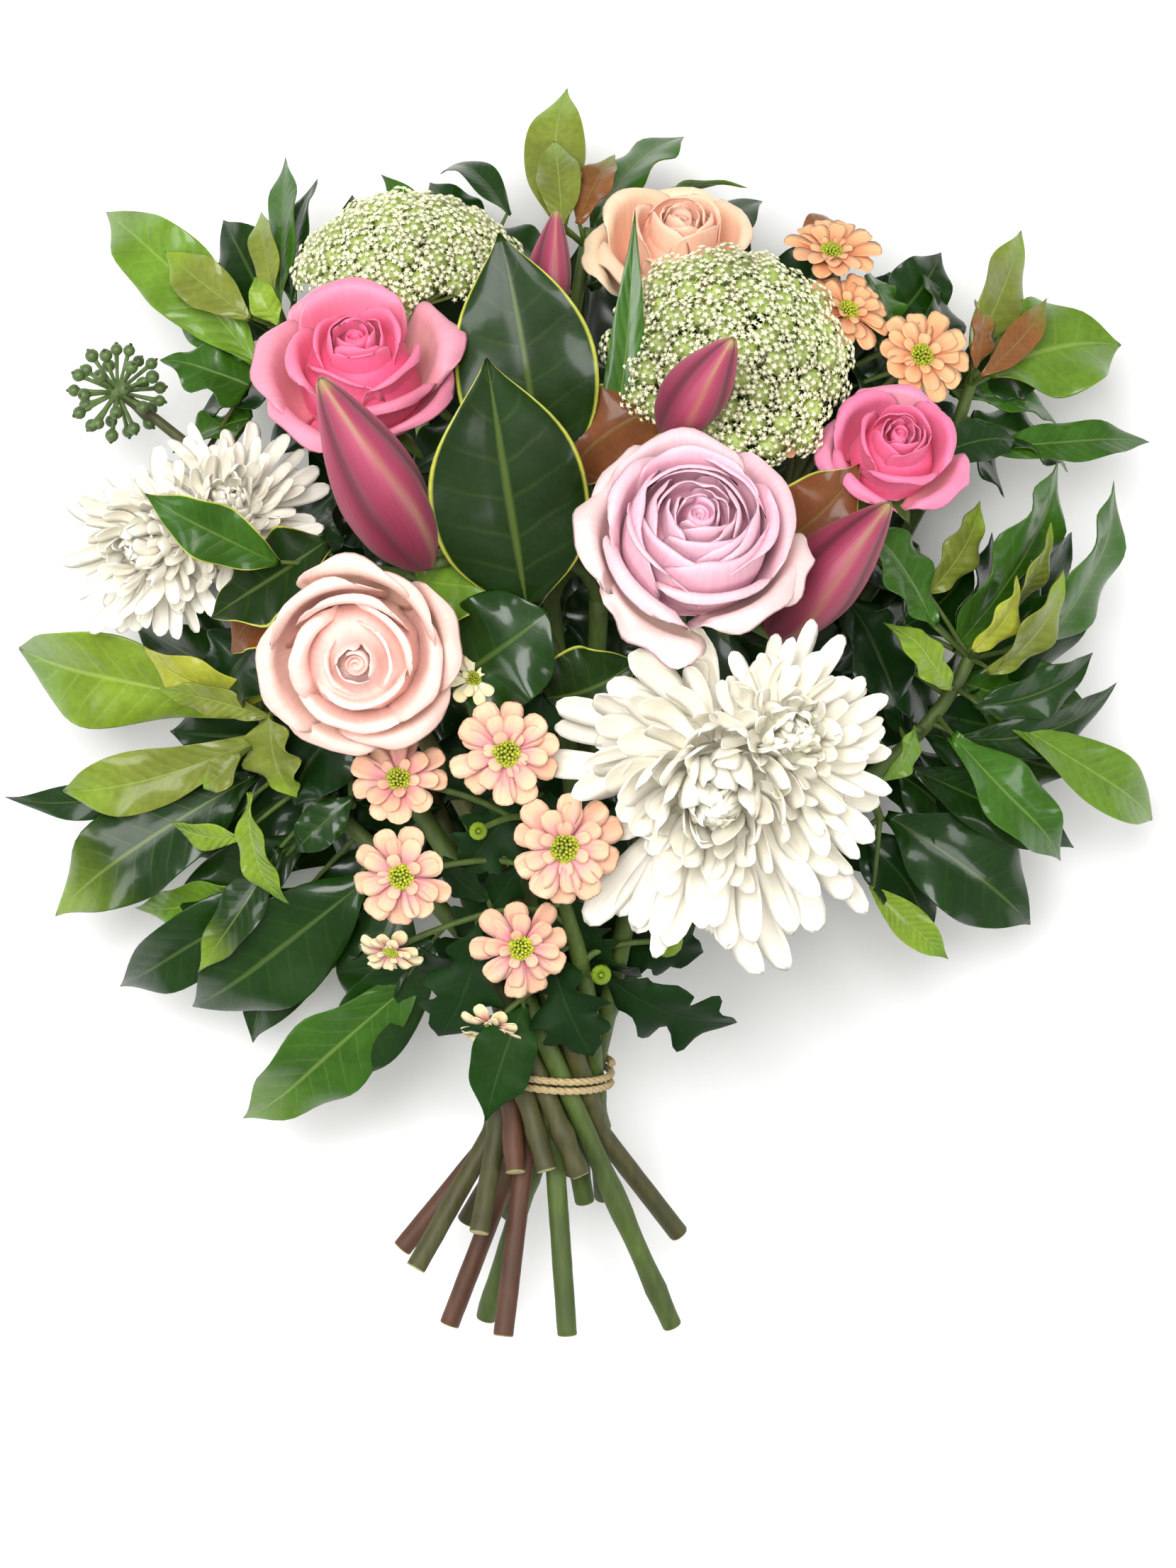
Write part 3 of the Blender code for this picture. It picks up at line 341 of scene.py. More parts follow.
def settled_mesh(name, points, edges=(), faces=()):
    """A mesh of points in millimetres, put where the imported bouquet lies."""
    mesh = bpy.data.meshes.new(name)
    mesh.from_pydata(((np.array(points) + SETTLED) * MM).tolist(), edges, faces)
    return mesh


def give(mesh, name, kind, values):
    """An attribute with a value for each point."""
    values = np.asarray(values).astype(np.float32)
    mesh.attributes.new(name, kind, "POINT").data.foreach_set(FIELDS[kind], values.ravel())


def sized(profile, rise, reach):
    """A profile of heights and reaches in shares, at its real size."""
    return [(height * rise, out * reach) for height, out in profile]


class Surfaces:
    """The closed surfaces of one piece, with a colour and a place on its blade for each point."""

    def __init__(self):
        self.points, self.tints, self.blades, self.faces = [], [], [], []
        self.count = 0

    def put(self, points, faces, tints, blades):
        self.points.append(points)
        self.tints.append(tints)
        self.blades.append(blades)
        self.faces += [(face + self.count).tolist() for face in faces]
        self.count += len(points)

    def shell(self, top, under, tints, under_tints, mark=0.0, places=None):
        """A thin closed blade of an upper side and an under side that shares its rim."""
        rows, columns = top.shape[:2]
        upper = np.arange(rows * columns).reshape(rows, columns)
        lower = upper.copy()
        lower[1:-1, 1:-1] = rows * columns + np.arange((rows - 2) * (columns - 2)).reshape(rows - 2, columns - 2)
        facing = np.cross(top[1:, :-1] - top[:-1, :-1], top[:-1, 1:] - top[:-1, :-1])
        outward = (facing * (top - under)[:-1, :-1]).sum() > 0
        faces = [grid_faces(upper, outward), grid_faces(lower, not outward)]
        places = np.linspace(-1, 1, columns) if places is None else places
        along, across = np.meshgrid(np.linspace(0, 1, rows), places, indexing="ij")
        blades = np.stack([across, along, np.full_like(along, mark)], axis=-1)
        parts = [(grid.reshape(-1, grid.shape[-1]), inner[1:-1, 1:-1].reshape(-1, inner.shape[-1]))
                 for grid, inner in ((top, under), (tints, under_tints), (blades, blades))]
        points, colours, spots = (np.concatenate(part) for part in parts)
        self.put(points, np.concatenate(faces), colours, spots)

    def rounded(self, rings, start, end, tints, mark=0.0):
        """A closed body of rings of points with a pole at each end.

        Its tints are one for each ring and pole, or one for each point.
        """
        rows, columns = rings.shape[:2]
        grid = 1 + np.arange(rows * columns).reshape(rows, columns)
        grid = np.concatenate([grid, grid[:, :1]], axis=1)
        last = rows * columns + 1
        points = np.concatenate([[start], rings.reshape(-1, 3), [end]])
        quads = grid_faces(grid, True)
        middle = points.mean(axis=0)
        corners = points[quads] - middle
        fans = [(0, b, a) for a, b in zip(grid[0], grid[0][1:])]
        fans += [(last, a, b) for a, b in zip(grid[-1], grid[-1][1:])]
        if (corners[:, 0] * np.cross(corners[:, 1], corners[:, 2])).sum() < 0:
            quads = quads[:, ::-1]
            fans = [fan[::-1] for fan in fans]
        if len(tints) < len(points):
            tints = np.concatenate([tints[:1], np.repeat(tints[1:-1], columns, axis=0), tints[-1:]])
        along = np.concatenate([[0], np.repeat(np.linspace(0, 1, rows), columns), [1]])
        across = np.concatenate([[0], np.tile(np.linspace(-1, 1, columns), rows), [0]])
        blades = np.stack([across, along, np.full_like(along, mark)], axis=-1)
        self.put(points, list(quads) + [np.array(fan) for fan in fans], tints, blades)

    def turned(self, origin, rotation, profile, tints):
        """A body turned on the third axis of rotation; the profile gives the height and reach of each ring.

        Its tints are one colour, or one for each row of the profile.
        """
        angles = 2 * math.pi * np.arange(TURNED_SIDES) / TURNED_SIDES
        tints = np.broadcast_to(tints, (len(profile), 4))
        rings = np.array([[(reach * math.cos(a), reach * math.sin(a), height) for a in angles]
                          for height, reach in profile[1:-1]])
        poles = [origin + rotation @ vec(0, 0, height) for height in (profile[0][0], profile[-1][0])]
        self.rounded(origin + rings @ rotation.T, *poles, tints)

    def finish(self, name, finish):
        mesh = settled_mesh(name, np.concatenate(self.points), faces=self.faces)
        give(mesh, "tint", "FLOAT_COLOR", np.concatenate(self.tints))
        give(mesh, "blade", "FLOAT_VECTOR", np.concatenate(self.blades))
        mesh.shade_smooth()
        mesh.materials.append(bpy.data.materials[finish])
        return shown(name, mesh)


def grid_faces(grid, outward):
    faces = np.stack([grid[:-1, :-1], grid[1:, :-1], grid[1:, 1:], grid[:-1, 1:]], axis=-1).reshape(-1, 4)
    return faces if outward else faces[:, ::-1]


def shown(name, mesh):
    piece = bpy.data.objects.new(name, mesh)
    bpy.context.scene.collection.objects.link(piece)
    return piece


def dress(piece, slot, *nodes):
    """Hands a finished piece to the frame, in place of the solids that it stands for."""
    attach(piece, "root")
    if nodes:
        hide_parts(*nodes)


def rgba(tint, veins=0.0):
    return np.array((*linear(tint), veins))


def lit(tint, light, blue=1.0):
    """A colour made lighter or darker, its share of veins kept."""
    return tint * (light, light, light * blue, 1)


def blend(one, other, shares):
    """Colours from one to other, at an array of shares."""
    shares = np.asarray(shares, float)[..., None]
    return one + (other - one) * np.clip(shares, 0, 1)


# Node trees

def add(tree, kind, inputs=None, **values):
    """A node of a tree, with its values set and its sockets linked or filled."""
    node = tree.nodes.new(kind)
    for key, value in values.items():
        setattr(node, key, value)
    for key, value in (inputs or {}).items():
        if isinstance(value, bpy.types.NodeSocket):
            tree.links.new(value, node.inputs[key])
        else:
            node.inputs[key].default_value = value
    return node


def maths(tree, operation, one, two=0.0, three=0.0):
    return add(tree, "ShaderNodeMath", {0: one, 1: two, 2: three}, operation=operation).outputs[0]


def new_tree(name, sockets):
    """A Geometry Nodes tree with named inputs, and the nodes of its two ends."""
    tree = bpy.data.node_groups.new(name, "GeometryNodeTree")
    tree.interface.new_socket("Geometry", in_out="INPUT", socket_type="NodeSocketGeometry")
    for label, kind in sockets:
        tree.interface.new_socket(label, in_out="INPUT", socket_type="NodeSocket" + kind)
    tree.interface.new_socket("Geometry", in_out="OUTPUT", socket_type="NodeSocketGeometry")
    return tree, tree.nodes.new("NodeGroupInput"), tree.nodes.new("NodeGroupOutput")


def end_tree(tree, given, result, geometry):
    smoothed = add(tree, "GeometryNodeSetShadeSmooth", {"Geometry": geometry})
    real = add(tree, "GeometryNodeRealizeInstances", {"Geometry": smoothed.outputs[0]})
    finished = add(tree, "GeometryNodeSetMaterial",
                   {"Geometry": real.outputs[0], "Material": given.outputs["Material"]})
    tree.links.new(finished.outputs[0], result.inputs[0])
    return tree


def stalk_tree():
    """Round stalks along every line of a mesh, as thick as its thickness attribute says."""
    tree, given, result = new_tree("Stalks along their lines", (
        ("Sides", "Int"), ("Bumps", "Float"), ("Bump scale", "Float"), ("Seed", "Float"),
        ("Material", "Material")))
    curve = add(tree, "GeometryNodeMeshToCurve", {"Mesh": given.outputs["Geometry"]})
    thickness = add(tree, "GeometryNodeInputNamedAttribute", {"Name": "thickness"}, data_type="FLOAT")
    ring = add(tree, "GeometryNodeCurvePrimitiveCircle", {"Resolution": given.outputs["Sides"], "Radius": 1.0})
    tube = add(tree, "GeometryNodeCurveToMesh", {
        "Curve": curve.outputs[0], "Profile Curve": ring.outputs[0], "Scale": thickness.outputs["Attribute"],
        "Fill Caps": True})
    where = add(tree, "GeometryNodeInputPosition")
    noise = add(tree, "ShaderNodeTexNoise",
                {"Vector": where.outputs[0], "W": given.outputs["Seed"], "Scale": given.outputs["Bump scale"],
                 "Detail": 2.0}, noise_dimensions="4D")
    rise = maths(tree, "MULTIPLY", maths(tree, "SUBTRACT", noise.outputs[0], 0.5), given.outputs["Bumps"])
    normal = add(tree, "GeometryNodeInputNormal")
    offset = add(tree, "ShaderNodeVectorMath", {0: normal.outputs[0], "Scale": rise}, operation="SCALE")
    moved = add(tree, "GeometryNodeSetPosition", {"Geometry": tube.outputs[0], "Offset": offset.outputs[0]})
    return end_tree(tree, given, result, moved.outputs[0])


def scatter_tree():
    """Copies of one small shape on the points of a mesh, each turned to its facing attribute."""
    tree, given, result = new_tree("Copies on points", (
        ("Shape", "Object"), ("Size variation", "Float"), ("Seed", "Int"), ("Material", "Material")))
    points = add(tree, "GeometryNodeMeshToPoints", {"Mesh": given.outputs["Geometry"]})
    shape = add(tree, "GeometryNodeObjectInfo", {"Object": given.outputs["Shape"]}, transform_space="ORIGINAL")
    facing = add(tree, "GeometryNodeInputNamedAttribute", {"Name": "facing"}, data_type="FLOAT_VECTOR")
    aligned = add(tree, "FunctionNodeAlignRotationToVector", {"Vector": facing.outputs["Attribute"]}, axis="Z")
    angle = add(tree, "FunctionNodeRandomValue", {"Seed": given.outputs["Seed"]}, data_type="FLOAT")
    angle.inputs[3].default_value = 2 * math.pi
    spin = add(tree, "FunctionNodeAxisAngleToRotation", {"Axis": (0, 0, 1), "Angle": angle.outputs[1]})
    rotation = add(tree, "FunctionNodeRotateRotation",
                   {"Rotation": aligned.outputs[0], "Rotate By": spin.outputs[0]}, rotation_space="LOCAL")
    size = add(tree, "GeometryNodeInputNamedAttribute", {"Name": "size"}, data_type="FLOAT")
    change = add(tree, "FunctionNodeRandomValue", {"Seed": given.outputs["Seed"]}, data_type="FLOAT")
    low = maths(tree, "SUBTRACT", 1.0, given.outputs["Size variation"])
    tree.links.new(low, change.inputs[2])
    change.inputs[3].default_value = 1.0
    scale = maths(tree, "MULTIPLY", size.outputs["Attribute"], change.outputs[1])
    placed = add(tree, "GeometryNodeInstanceOnPoints", {
        "Points": points.outputs[0], "Instance": shape.outputs["Geometry"],
        "Rotation": rotation.outputs[0], "Scale": scale})
    return end_tree(tree, given, result, placed.outputs[0])


def twine_tree():
    """Twisted strands along a line."""
    tree, given, result = new_tree("Twisted twine", (
        ("Radius", "Float"), ("Strands", "Float"), ("Twist", "Float"), ("Points", "Int"),
        ("Material", "Material")))
    curve = add(tree, "GeometryNodeMeshToCurve", {"Mesh": given.outputs["Geometry"]})
    even = add(tree, "GeometryNodeResampleCurve", {"Curve": curve.outputs[0], "Count": given.outputs["Points"]})
    along = add(tree, "GeometryNodeSplineParameter")
    tilt = maths(tree, "MULTIPLY", along.outputs["Factor"], given.outputs["Twist"])
    twisted = add(tree, "GeometryNodeSetCurveTilt", {"Curve": even.outputs[0], "Tilt": tilt})
    ring = add(tree, "GeometryNodeCurvePrimitiveCircle", {"Resolution": TWINE_SIDES, "Radius": 1.0})
    ring_along = add(tree, "GeometryNodeSplineParameter")
    angle = maths(tree, "MULTIPLY", ring_along.outputs["Factor"], 2 * math.pi)
    lobe = maths(tree, "ABSOLUTE", maths(tree, "SINE", maths(tree, "MULTIPLY", angle,
                                                           maths(tree, "DIVIDE", given.outputs["Strands"], 2.0))))
    depth = maths(tree, "MULTIPLY_ADD", lobe, STRAND_DEPTH, 1 - STRAND_DEPTH)
    reach = maths(tree, "MULTIPLY", depth, given.outputs["Radius"])
    spot = add(tree, "GeometryNodeInputPosition")
    lobed = add(tree, "ShaderNodeVectorMath", {0: spot.outputs[0], "Scale": reach}, operation="SCALE")
    profile = add(tree, "GeometryNodeSetPosition", {"Geometry": ring.outputs[0], "Position": lobed.outputs[0]})
    rope = add(tree, "GeometryNodeCurveToMesh",
               {"Curve": twisted.outputs[0], "Profile Curve": profile.outputs[0], "Fill Caps": True})
    return end_tree(tree, given, result, rope.outputs[0])


TREES = {"stalks": stalk_tree, "scatter": scatter_tree, "twine": twine_tree}


def grow(name, mesh, kind, values, finish):
    """Runs one of the trees on a mesh of points and lines, and keeps what it makes as a plain mesh."""
    if kind not in bpy.data.node_groups:
        TREES[kind]().name = kind
    tree = bpy.data.node_groups[kind]
    piece = shown(name, mesh)
    modifier = piece.modifiers.new(kind, "NODES")
    modifier.node_group = tree
    sockets = {item.name: item.identifier for item in tree.interface.items_tree if item.in_out == "INPUT"}
    for label, value in {**values, "Material": bpy.data.materials[finish]}.items():
        modifier[sockets[label]] = value
    bpy.context.view_layer.update()
    made = bpy.data.meshes.new_from_object(piece.evaluated_get(bpy.context.evaluated_depsgraph_get()))
    made.name = name
    piece.modifiers.clear()
    piece.data = made
    bpy.data.meshes.remove(mesh)
    return piece


BUMP_SCALE = 160.0
BUMP_SEED = 3.0


class Lines:
    """Lines that become round stalks, with a thickness and a colour for each point."""

    def __init__(self):
        self.points, self.radii, self.tints, self.edges = [], [], [], []

    def put(self, points, radii, tint, cut=None):
        """A stalk along points. With cut, its first end is a cut face of that colour."""
        points = [np.asarray(point, float) for point in points]
        radii = list(np.broadcast_to(radii, len(points)))
        tints = list(np.broadcast_to(tint, (len(points), 4)))
        tip = unit(points[-1] - points[-2])
        points.append(points[-1] + tip * 0.4 * radii[-1])
        radii.append(0.55 * radii[-1])
        tints.append(tints[-1])
        if cut is not None:
            end = unit(points[0] - points[1])
            points = [points[0] + end * 0.1, points[0], points[0] - end * 0.5] + points[1:]
            radii = [radii[0] * 0.8, radii[0] * 0.94, radii[0]] + radii[1:]
            tints = [cut, cut * 0.75, tints[0]] + tints[1:]
        first = len(self.points)
        self.points += points
        self.radii += radii
        self.tints += tints
        self.edges += [(first + k, first + k + 1) for k in range(len(points) - 1)]

    def finish(self, name, sides=None, bumpy=True):
        mesh = settled_mesh("lines", self.points, self.edges)
        give(mesh, "thickness", "FLOAT", np.array(self.radii) * MM)
        give(mesh, "tint", "FLOAT_COLOR", self.tints)
        stems = settings().stems
        values = {"Sides": sides or stems.sides, "Bumps": stems.bumps * 2 if bumpy else 0.0,
                  "Bump scale": BUMP_SCALE, "Seed": BUMP_SEED}
        return grow(name, mesh, "stalks", values, "stem_skin")


def put_stem(lines, stem, head_radius, tint, head=None):
    """The skin of a stem: darker near its cut end, and of the colour head at the top."""
    steps = np.linalg.norm(np.diff(stem.points, axis=0), axis=1)
    shares = np.append(0.0, np.cumsum(steps)) / steps.sum()
    low = tint * (0.8, 0.78, 0.75, 1)
    tints = blend(low, tint if head is None else head, smooth(0.1, 0.6, shares))
    lines.put(stem.points, stem.radii(head_radius), tints, rgba(settings().stems.cut))


SCATTER_SEED = 5


class Copies:
    """Places for copies of a small shape: where, which way up, how large and of what colour."""

    def __init__(self):
        self.points, self.facings, self.sizes, self.tints = [], [], [], []

    def put(self, point, facing, size, tint):
        self.points.append(point)
        self.facings.append(facing)
        self.sizes.append(size)
        self.tints.append(tint)

    def finish(self, name, shape, variation, finish):
        mesh = settled_mesh("places", self.points)
        give(mesh, "facing", "FLOAT_VECTOR", self.facings)
        give(mesh, "size", "FLOAT", self.sizes)
        give(mesh, "tint", "FLOAT_COLOR", self.tints)
        values = {"Shape": shape, "Size variation": variation, "Seed": SCATTER_SEED}
        piece = grow(name, mesh, "scatter", values, finish)
        bpy.data.objects.remove(shape)
        return piece


def small_shape(profile, sides, points=1.0):
    """A closed shape turned on +Z, in metres per unit of size; points below 1 draws in every second side."""
    verts = [(0, 0, profile[0][0])]
    for height, reach in profile[1:-1]:
        for k in range(sides):
            out = reach * (points if k % 2 else 1.0)
            angle = 2 * math.pi * k / sides
            verts.append((out * math.cos(angle), out * math.sin(angle), height))
    verts.append((0, 0, profile[-1][0]))
    rings = len(profile) - 2
    faces = [(0, 1 + (k + 1) % sides, 1 + k) for k in range(sides)]
    for ring in range(rings - 1):
        low = 1 + ring * sides
        faces += [(low + k, low + (k + 1) % sides, low + sides + (k + 1) % sides, low + sides + k)
                  for k in range(sides)]
    low = 1 + (rings - 1) * sides
    faces += [(low + k, low + (k + 1) % sides, len(verts) - 1) for k in range(sides)]
    mesh = bpy.data.meshes.new("shape")
    mesh.from_pydata([(x * MM, y * MM, z * MM) for x, y, z in verts], [], faces)
    return shown("shape", mesh)


# Finishes. The tint attribute gives the colour, and its alpha how strongly the veins show.

def finish_nodes(name, roughness):
    """The tree of a new material, with its shader and its tint."""
    material = bpy.data.materials.new(name)
    material.use_nodes = True
    tree = material.node_tree
    shader = tree.nodes["Principled BSDF"]
    shader.inputs["Roughness"].default_value = roughness
    tint = add(tree, "ShaderNodeAttribute", attribute_name="tint")
    return tree, shader, tint


def raise_by(tree, shader, height, strength, distance=0.0005):
    """Lets a height stand out of the surface."""
    bumped = add(tree, "ShaderNodeBump", {"Height": height, "Strength": strength, "Distance": distance})
    tree.links.new(bumped.outputs[0], shader.inputs["Normal"])


def object_noise(tree, scale, detail=3.0, stretch=(1.0, 1.0, 1.0)):
    place = add(tree, "ShaderNodeTexCoord")
    mapped = add(tree, "ShaderNodeMapping", {"Vector": place.outputs["Object"], "Scale": stretch})
    noise = add(tree, "ShaderNodeTexNoise", {"Vector": mapped.outputs[0], "Scale": scale, "Detail": detail})
    return noise.outputs[0]


def blade_places(tree):
    """The share across and along the blade, and its mark, from the blade attribute."""
    blade = add(tree, "ShaderNodeAttribute", attribute_name="blade")
    return add(tree, "ShaderNodeSeparateXYZ", {0: blade.outputs["Vector"]}).outputs


def blade_noise(tree, across, along):
    """Noise drawn out along the blade, for the fine lines of petals."""
    parts = blade_places(tree)
    spot = add(tree, "ShaderNodeCombineXYZ", {
        0: maths(tree, "MULTIPLY", parts[0], across), 1: maths(tree, "MULTIPLY", parts[1], along), 2: parts[2]})
    return add(tree, "ShaderNodeTexNoise", {"Vector": spot.outputs[0], "Scale": 1.0, "Detail": 3.0}).outputs[0]


def varied(tree, tint, noise, low, high):
    """A tint made darker and lighter with a noise."""
    light = add(tree, "ShaderNodeMapRange", {0: noise, 1: 0.3, 2: 0.7, 3: low, 4: high}).outputs[0]
    return add(tree, "ShaderNodeVectorMath", {0: tint, "Scale": light}, operation="SCALE").outputs[0]


def petal_finish(name, roughness=0.55, lines=26.0, bump=0.2, glow=0.1):
    """Soft petals with fine lines along them. Gives the finish's name back."""
    tree, shader, tint = finish_nodes(name, roughness)
    fine = blade_noise(tree, lines, 2.2)
    broad = object_noise(tree, 70.0)
    base = varied(tree, varied(tree, tint.outputs["Color"], fine, 0.93, 1.04), broad, 0.95, 1.03)
    tree.links.new(base, shader.inputs["Base Color"])
    height = maths(tree, "ADD", fine, maths(tree, "MULTIPLY", broad, 0.6))
    raise_by(tree, shader, height, bump)
    shader.inputs["Subsurface Weight"].default_value = glow
    shader.inputs["Subsurface Scale"].default_value = 0.003
    shader.inputs["Subsurface Radius"].default_value = (1.0, 0.85, 0.75)
    shader.inputs["Sheen Weight"].default_value = 0.1
    return name


VEIN_SLANT = 0.13
VEIN_WANDER = 0.35
VEIN_SHARPNESS = 26.0
MIDRIB_EDGES = (0.02, 0.065)


def leaf_finish(name, roughness, vein_colour, gloss):
    """Leaves with a midrib and side veins that show paler and lie in the surface, under a waxy coat."""
    tree, shader, tint = finish_nodes(name, roughness)
    across, along, count = blade_places(tree)
    side = maths(tree, "ABSOLUTE", across)
    broad = object_noise(tree, 55.0)
    fine = object_noise(tree, 420.0, 4.0)
    slant = maths(tree, "SUBTRACT", along, maths(tree, "MULTIPLY", side, VEIN_SLANT))
    wander = maths(tree, "MULTIPLY", maths(tree, "SUBTRACT", broad, 0.5), VEIN_WANDER)
    phase = maths(tree, "ADD", maths(tree, "MULTIPLY", slant, count), wander)
    wave = maths(tree, "COSINE", maths(tree, "MULTIPLY", phase, 2 * math.pi))
    crest = maths(tree, "POWER", maths(tree, "MULTIPLY_ADD", wave, 0.5, 0.5), VEIN_SHARPNESS)
    faded = maths(tree, "MULTIPLY", crest, maths(tree, "SUBTRACT", 1.0, maths(tree, "POWER", side, 2.0)))
    strength = tint.outputs["Alpha"]
    near, far = MIDRIB_EDGES
    midrib = add(tree, "ShaderNodeMapRange", {0: side, 1: near, 2: far, 3: 1.0, 4: 0.0}).outputs[0]
    veins = maths(tree, "MAXIMUM", maths(tree, "MULTIPLY", faded, strength), midrib)
    shown_veins = maths(tree, "MULTIPLY", veins, strength)
    mottled = varied(tree, varied(tree, tint.outputs["Color"], broad, 0.82, 1.2), fine, 0.9, 1.1)
    base = add(tree, "ShaderNodeMix", data_type="RGBA")
    tree.links.new(shown_veins, base.inputs[0])
    tree.links.new(mottled, base.inputs[6])
    base.inputs[7].default_value = (*linear(vein_colour), 1.0)
    tree.links.new(base.outputs[2], shader.inputs["Base Color"])
    pillow = maths(tree, "MULTIPLY", wave, maths(tree, "MULTIPLY", strength, -0.9))
    height = maths(tree, "ADD", maths(tree, "ADD", pillow, maths(tree, "MULTIPLY", veins, -0.8)),
                   maths(tree, "MULTIPLY", fine, 0.25))
    raise_by(tree, shader, height, 0.5, 0.0007)
    shine = add(tree, "ShaderNodeMapRange", {0: broad, 1: 0.3, 2: 0.7, 3: roughness - 0.05, 4: roughness + 0.1})
    tree.links.new(shine.outputs[0], shader.inputs["Roughness"])
    shader.inputs["Specular IOR Level"].default_value = 0.15
    shader.inputs["Coat Weight"].default_value = gloss
    shader.inputs["Coat Roughness"].default_value = 0.14


def skin_finish(name, roughness, bump, scale, stretch, low, high):
    """Stems, stalks and berries: streaks and small bumps on the tint."""
    tree, shader, tint = finish_nodes(name, roughness)
    streaks = object_noise(tree, scale, 4.0, stretch)
    broad = object_noise(tree, 45.0)
    base = varied(tree, varied(tree, tint.outputs["Color"], streaks, low, high), broad, 0.8, 1.2)
    tree.links.new(base, shader.inputs["Base Color"])
    raise_by(tree, shader, streaks, bump)


# The roughness of each leaf finish, the colour of its veins and its share of the gloss.
LEAF_FINISHES = {
    "leaf_glossy": (0.34, (0.62, 0.72, 0.36), 1.0),
    "leaf_leather": (0.42, (0.55, 0.64, 0.28), 0.5),
    "leaf_soft": (0.55, (0.35, 0.48, 0.26), 0.0),
}
# The roughness of each skin, how strong, how fine and how drawn out its bumps are, and its two shades.
SKIN_FINISHES = {
    "stem_skin": (0.6, 0.5, 380.0, (1.0, 0.12, 1.0), 0.78, 1.2),
    "disc_skin": (0.6, 0.2, 600.0, (1, 1, 1), 0.8, 1.15),
    "lace_skin": (0.65, 0.2, 500.0, (1, 1, 1), 0.92, 1.06),
    "berry_skin": (0.42, 0.3, 420.0, (1, 1, 1), 0.82, 1.15),
    "twine_fibre": (0.9, 0.9, 1500.0, (1, 1, 1), 0.7, 1.25),
}


# Leaves. An outline gives shares along the blade and the half width there, as a share of the full half.
OUTLINES = {
    "leaf": ((0, 0.05), (0.06, 0.2), (0.18, 0.6), (0.34, 0.9), (0.52, 1.0), (0.7, 0.82), (0.84, 0.46),
             (0.93, 0.16), (1, 0.02)),
    "broad": ((0, 0.05), (0.05, 0.3), (0.16, 0.72), (0.32, 0.96), (0.5, 1.0), (0.68, 0.84), (0.84, 0.48),
              (0.94, 0.17), (1, 0.02)),
    "spoon": ((0, 0.07), (0.1, 0.2), (0.3, 0.55), (0.5, 0.88), (0.68, 1.0), (0.84, 0.78), (0.95, 0.36),
              (1, 0.04)),
    "round": ((0, 0.08), (0.06, 0.5), (0.2, 0.86), (0.45, 1.0), (0.68, 0.94), (0.86, 0.66), (0.96, 0.3),
              (1, 0.05)),
    "lobed": ((0, 0.1), (0.12, 0.22), (0.2, 0.62), (0.26, 0.66), (0.31, 0.4), (0.36, 0.42), (0.43, 0.94),
              (0.5, 1.0), (0.56, 0.56), (0.61, 0.54), (0.68, 0.88), (0.74, 0.84), (0.8, 0.46), (0.86, 0.48),
              (0.93, 0.34), (1, 0.04)),
    "ivy": ((0, 0.2), (0.05, 0.72), (0.14, 1.0), (0.24, 0.72), (0.34, 0.6), (0.46, 0.78), (0.56, 0.72),
            (0.7, 0.42), (0.86, 0.2), (1, 0.02)),
}
OUTLINE_SMOOTHING = (-0.07, -0.035, 0.0, 0.035, 0.07)


def half_widths(outline, shares):
    """The half width at the shares along a blade, smooth between the stations of its outline."""
    places, halves = np.array(OUTLINES[outline]).T
    if outline in ("lobed", "ivy"):
        return np.interp(shares, places, halves)
    near = [np.interp(shares + shift, places, halves) for shift in OUTLINE_SMOOTHING]
    return sum(near) / len(near)


# The looks of leaves: the greenery colour of the face, of the underside and at the tip, and how strongly the
# veins show.
LOOKS = {
    "fresh": ("fresh", "fresh", "bright", 0.5),
    "bright": ("bright", "fresh", "bright", 0.35),
    "middle": ("middle", "bright", "middle", 0.25),
    "dark": ("dark", "bright", "dark", 0.14),
    # The darkest look below is partly a deep green and partly painted shade, for leaves down between and under
    # the blooms.
    "deep": ("deep", "dark", "deep", 0.06),
    "olive": ("olive", "olive", "fresh", 0.3),
    "yellow": ("yellow", "fresh", "yellow", 0.25),
    "reddish": ("reddish", "reddish", "olive", 0.2),
    "tipped": ("dark", "fresh", "fresh", 0.25),
    "half": ("middle", "fresh", "bright", 0.3),
    "magnolia": ("magnolia", "magnolia_felt", "magnolia", 0.2),
    "felt": ("magnolia_felt", "magnolia", "magnolia_felt", 0.12),
}
LOBED, BROAD, SPOONED, IVY = ({"outline": outline} for outline in ("lobed", "broad", "spoon", "ivy"))
# The grid of a blade: its rows from base to tip, and its columns from edge to edge.
LEAF_ROWS = 25
LEAF_COLUMNS = np.array((-1, -0.97, -0.93, -0.74, -0.5, -0.25, 0, 0.25, 0.5, 0.74, 0.93, 0.97, 1))


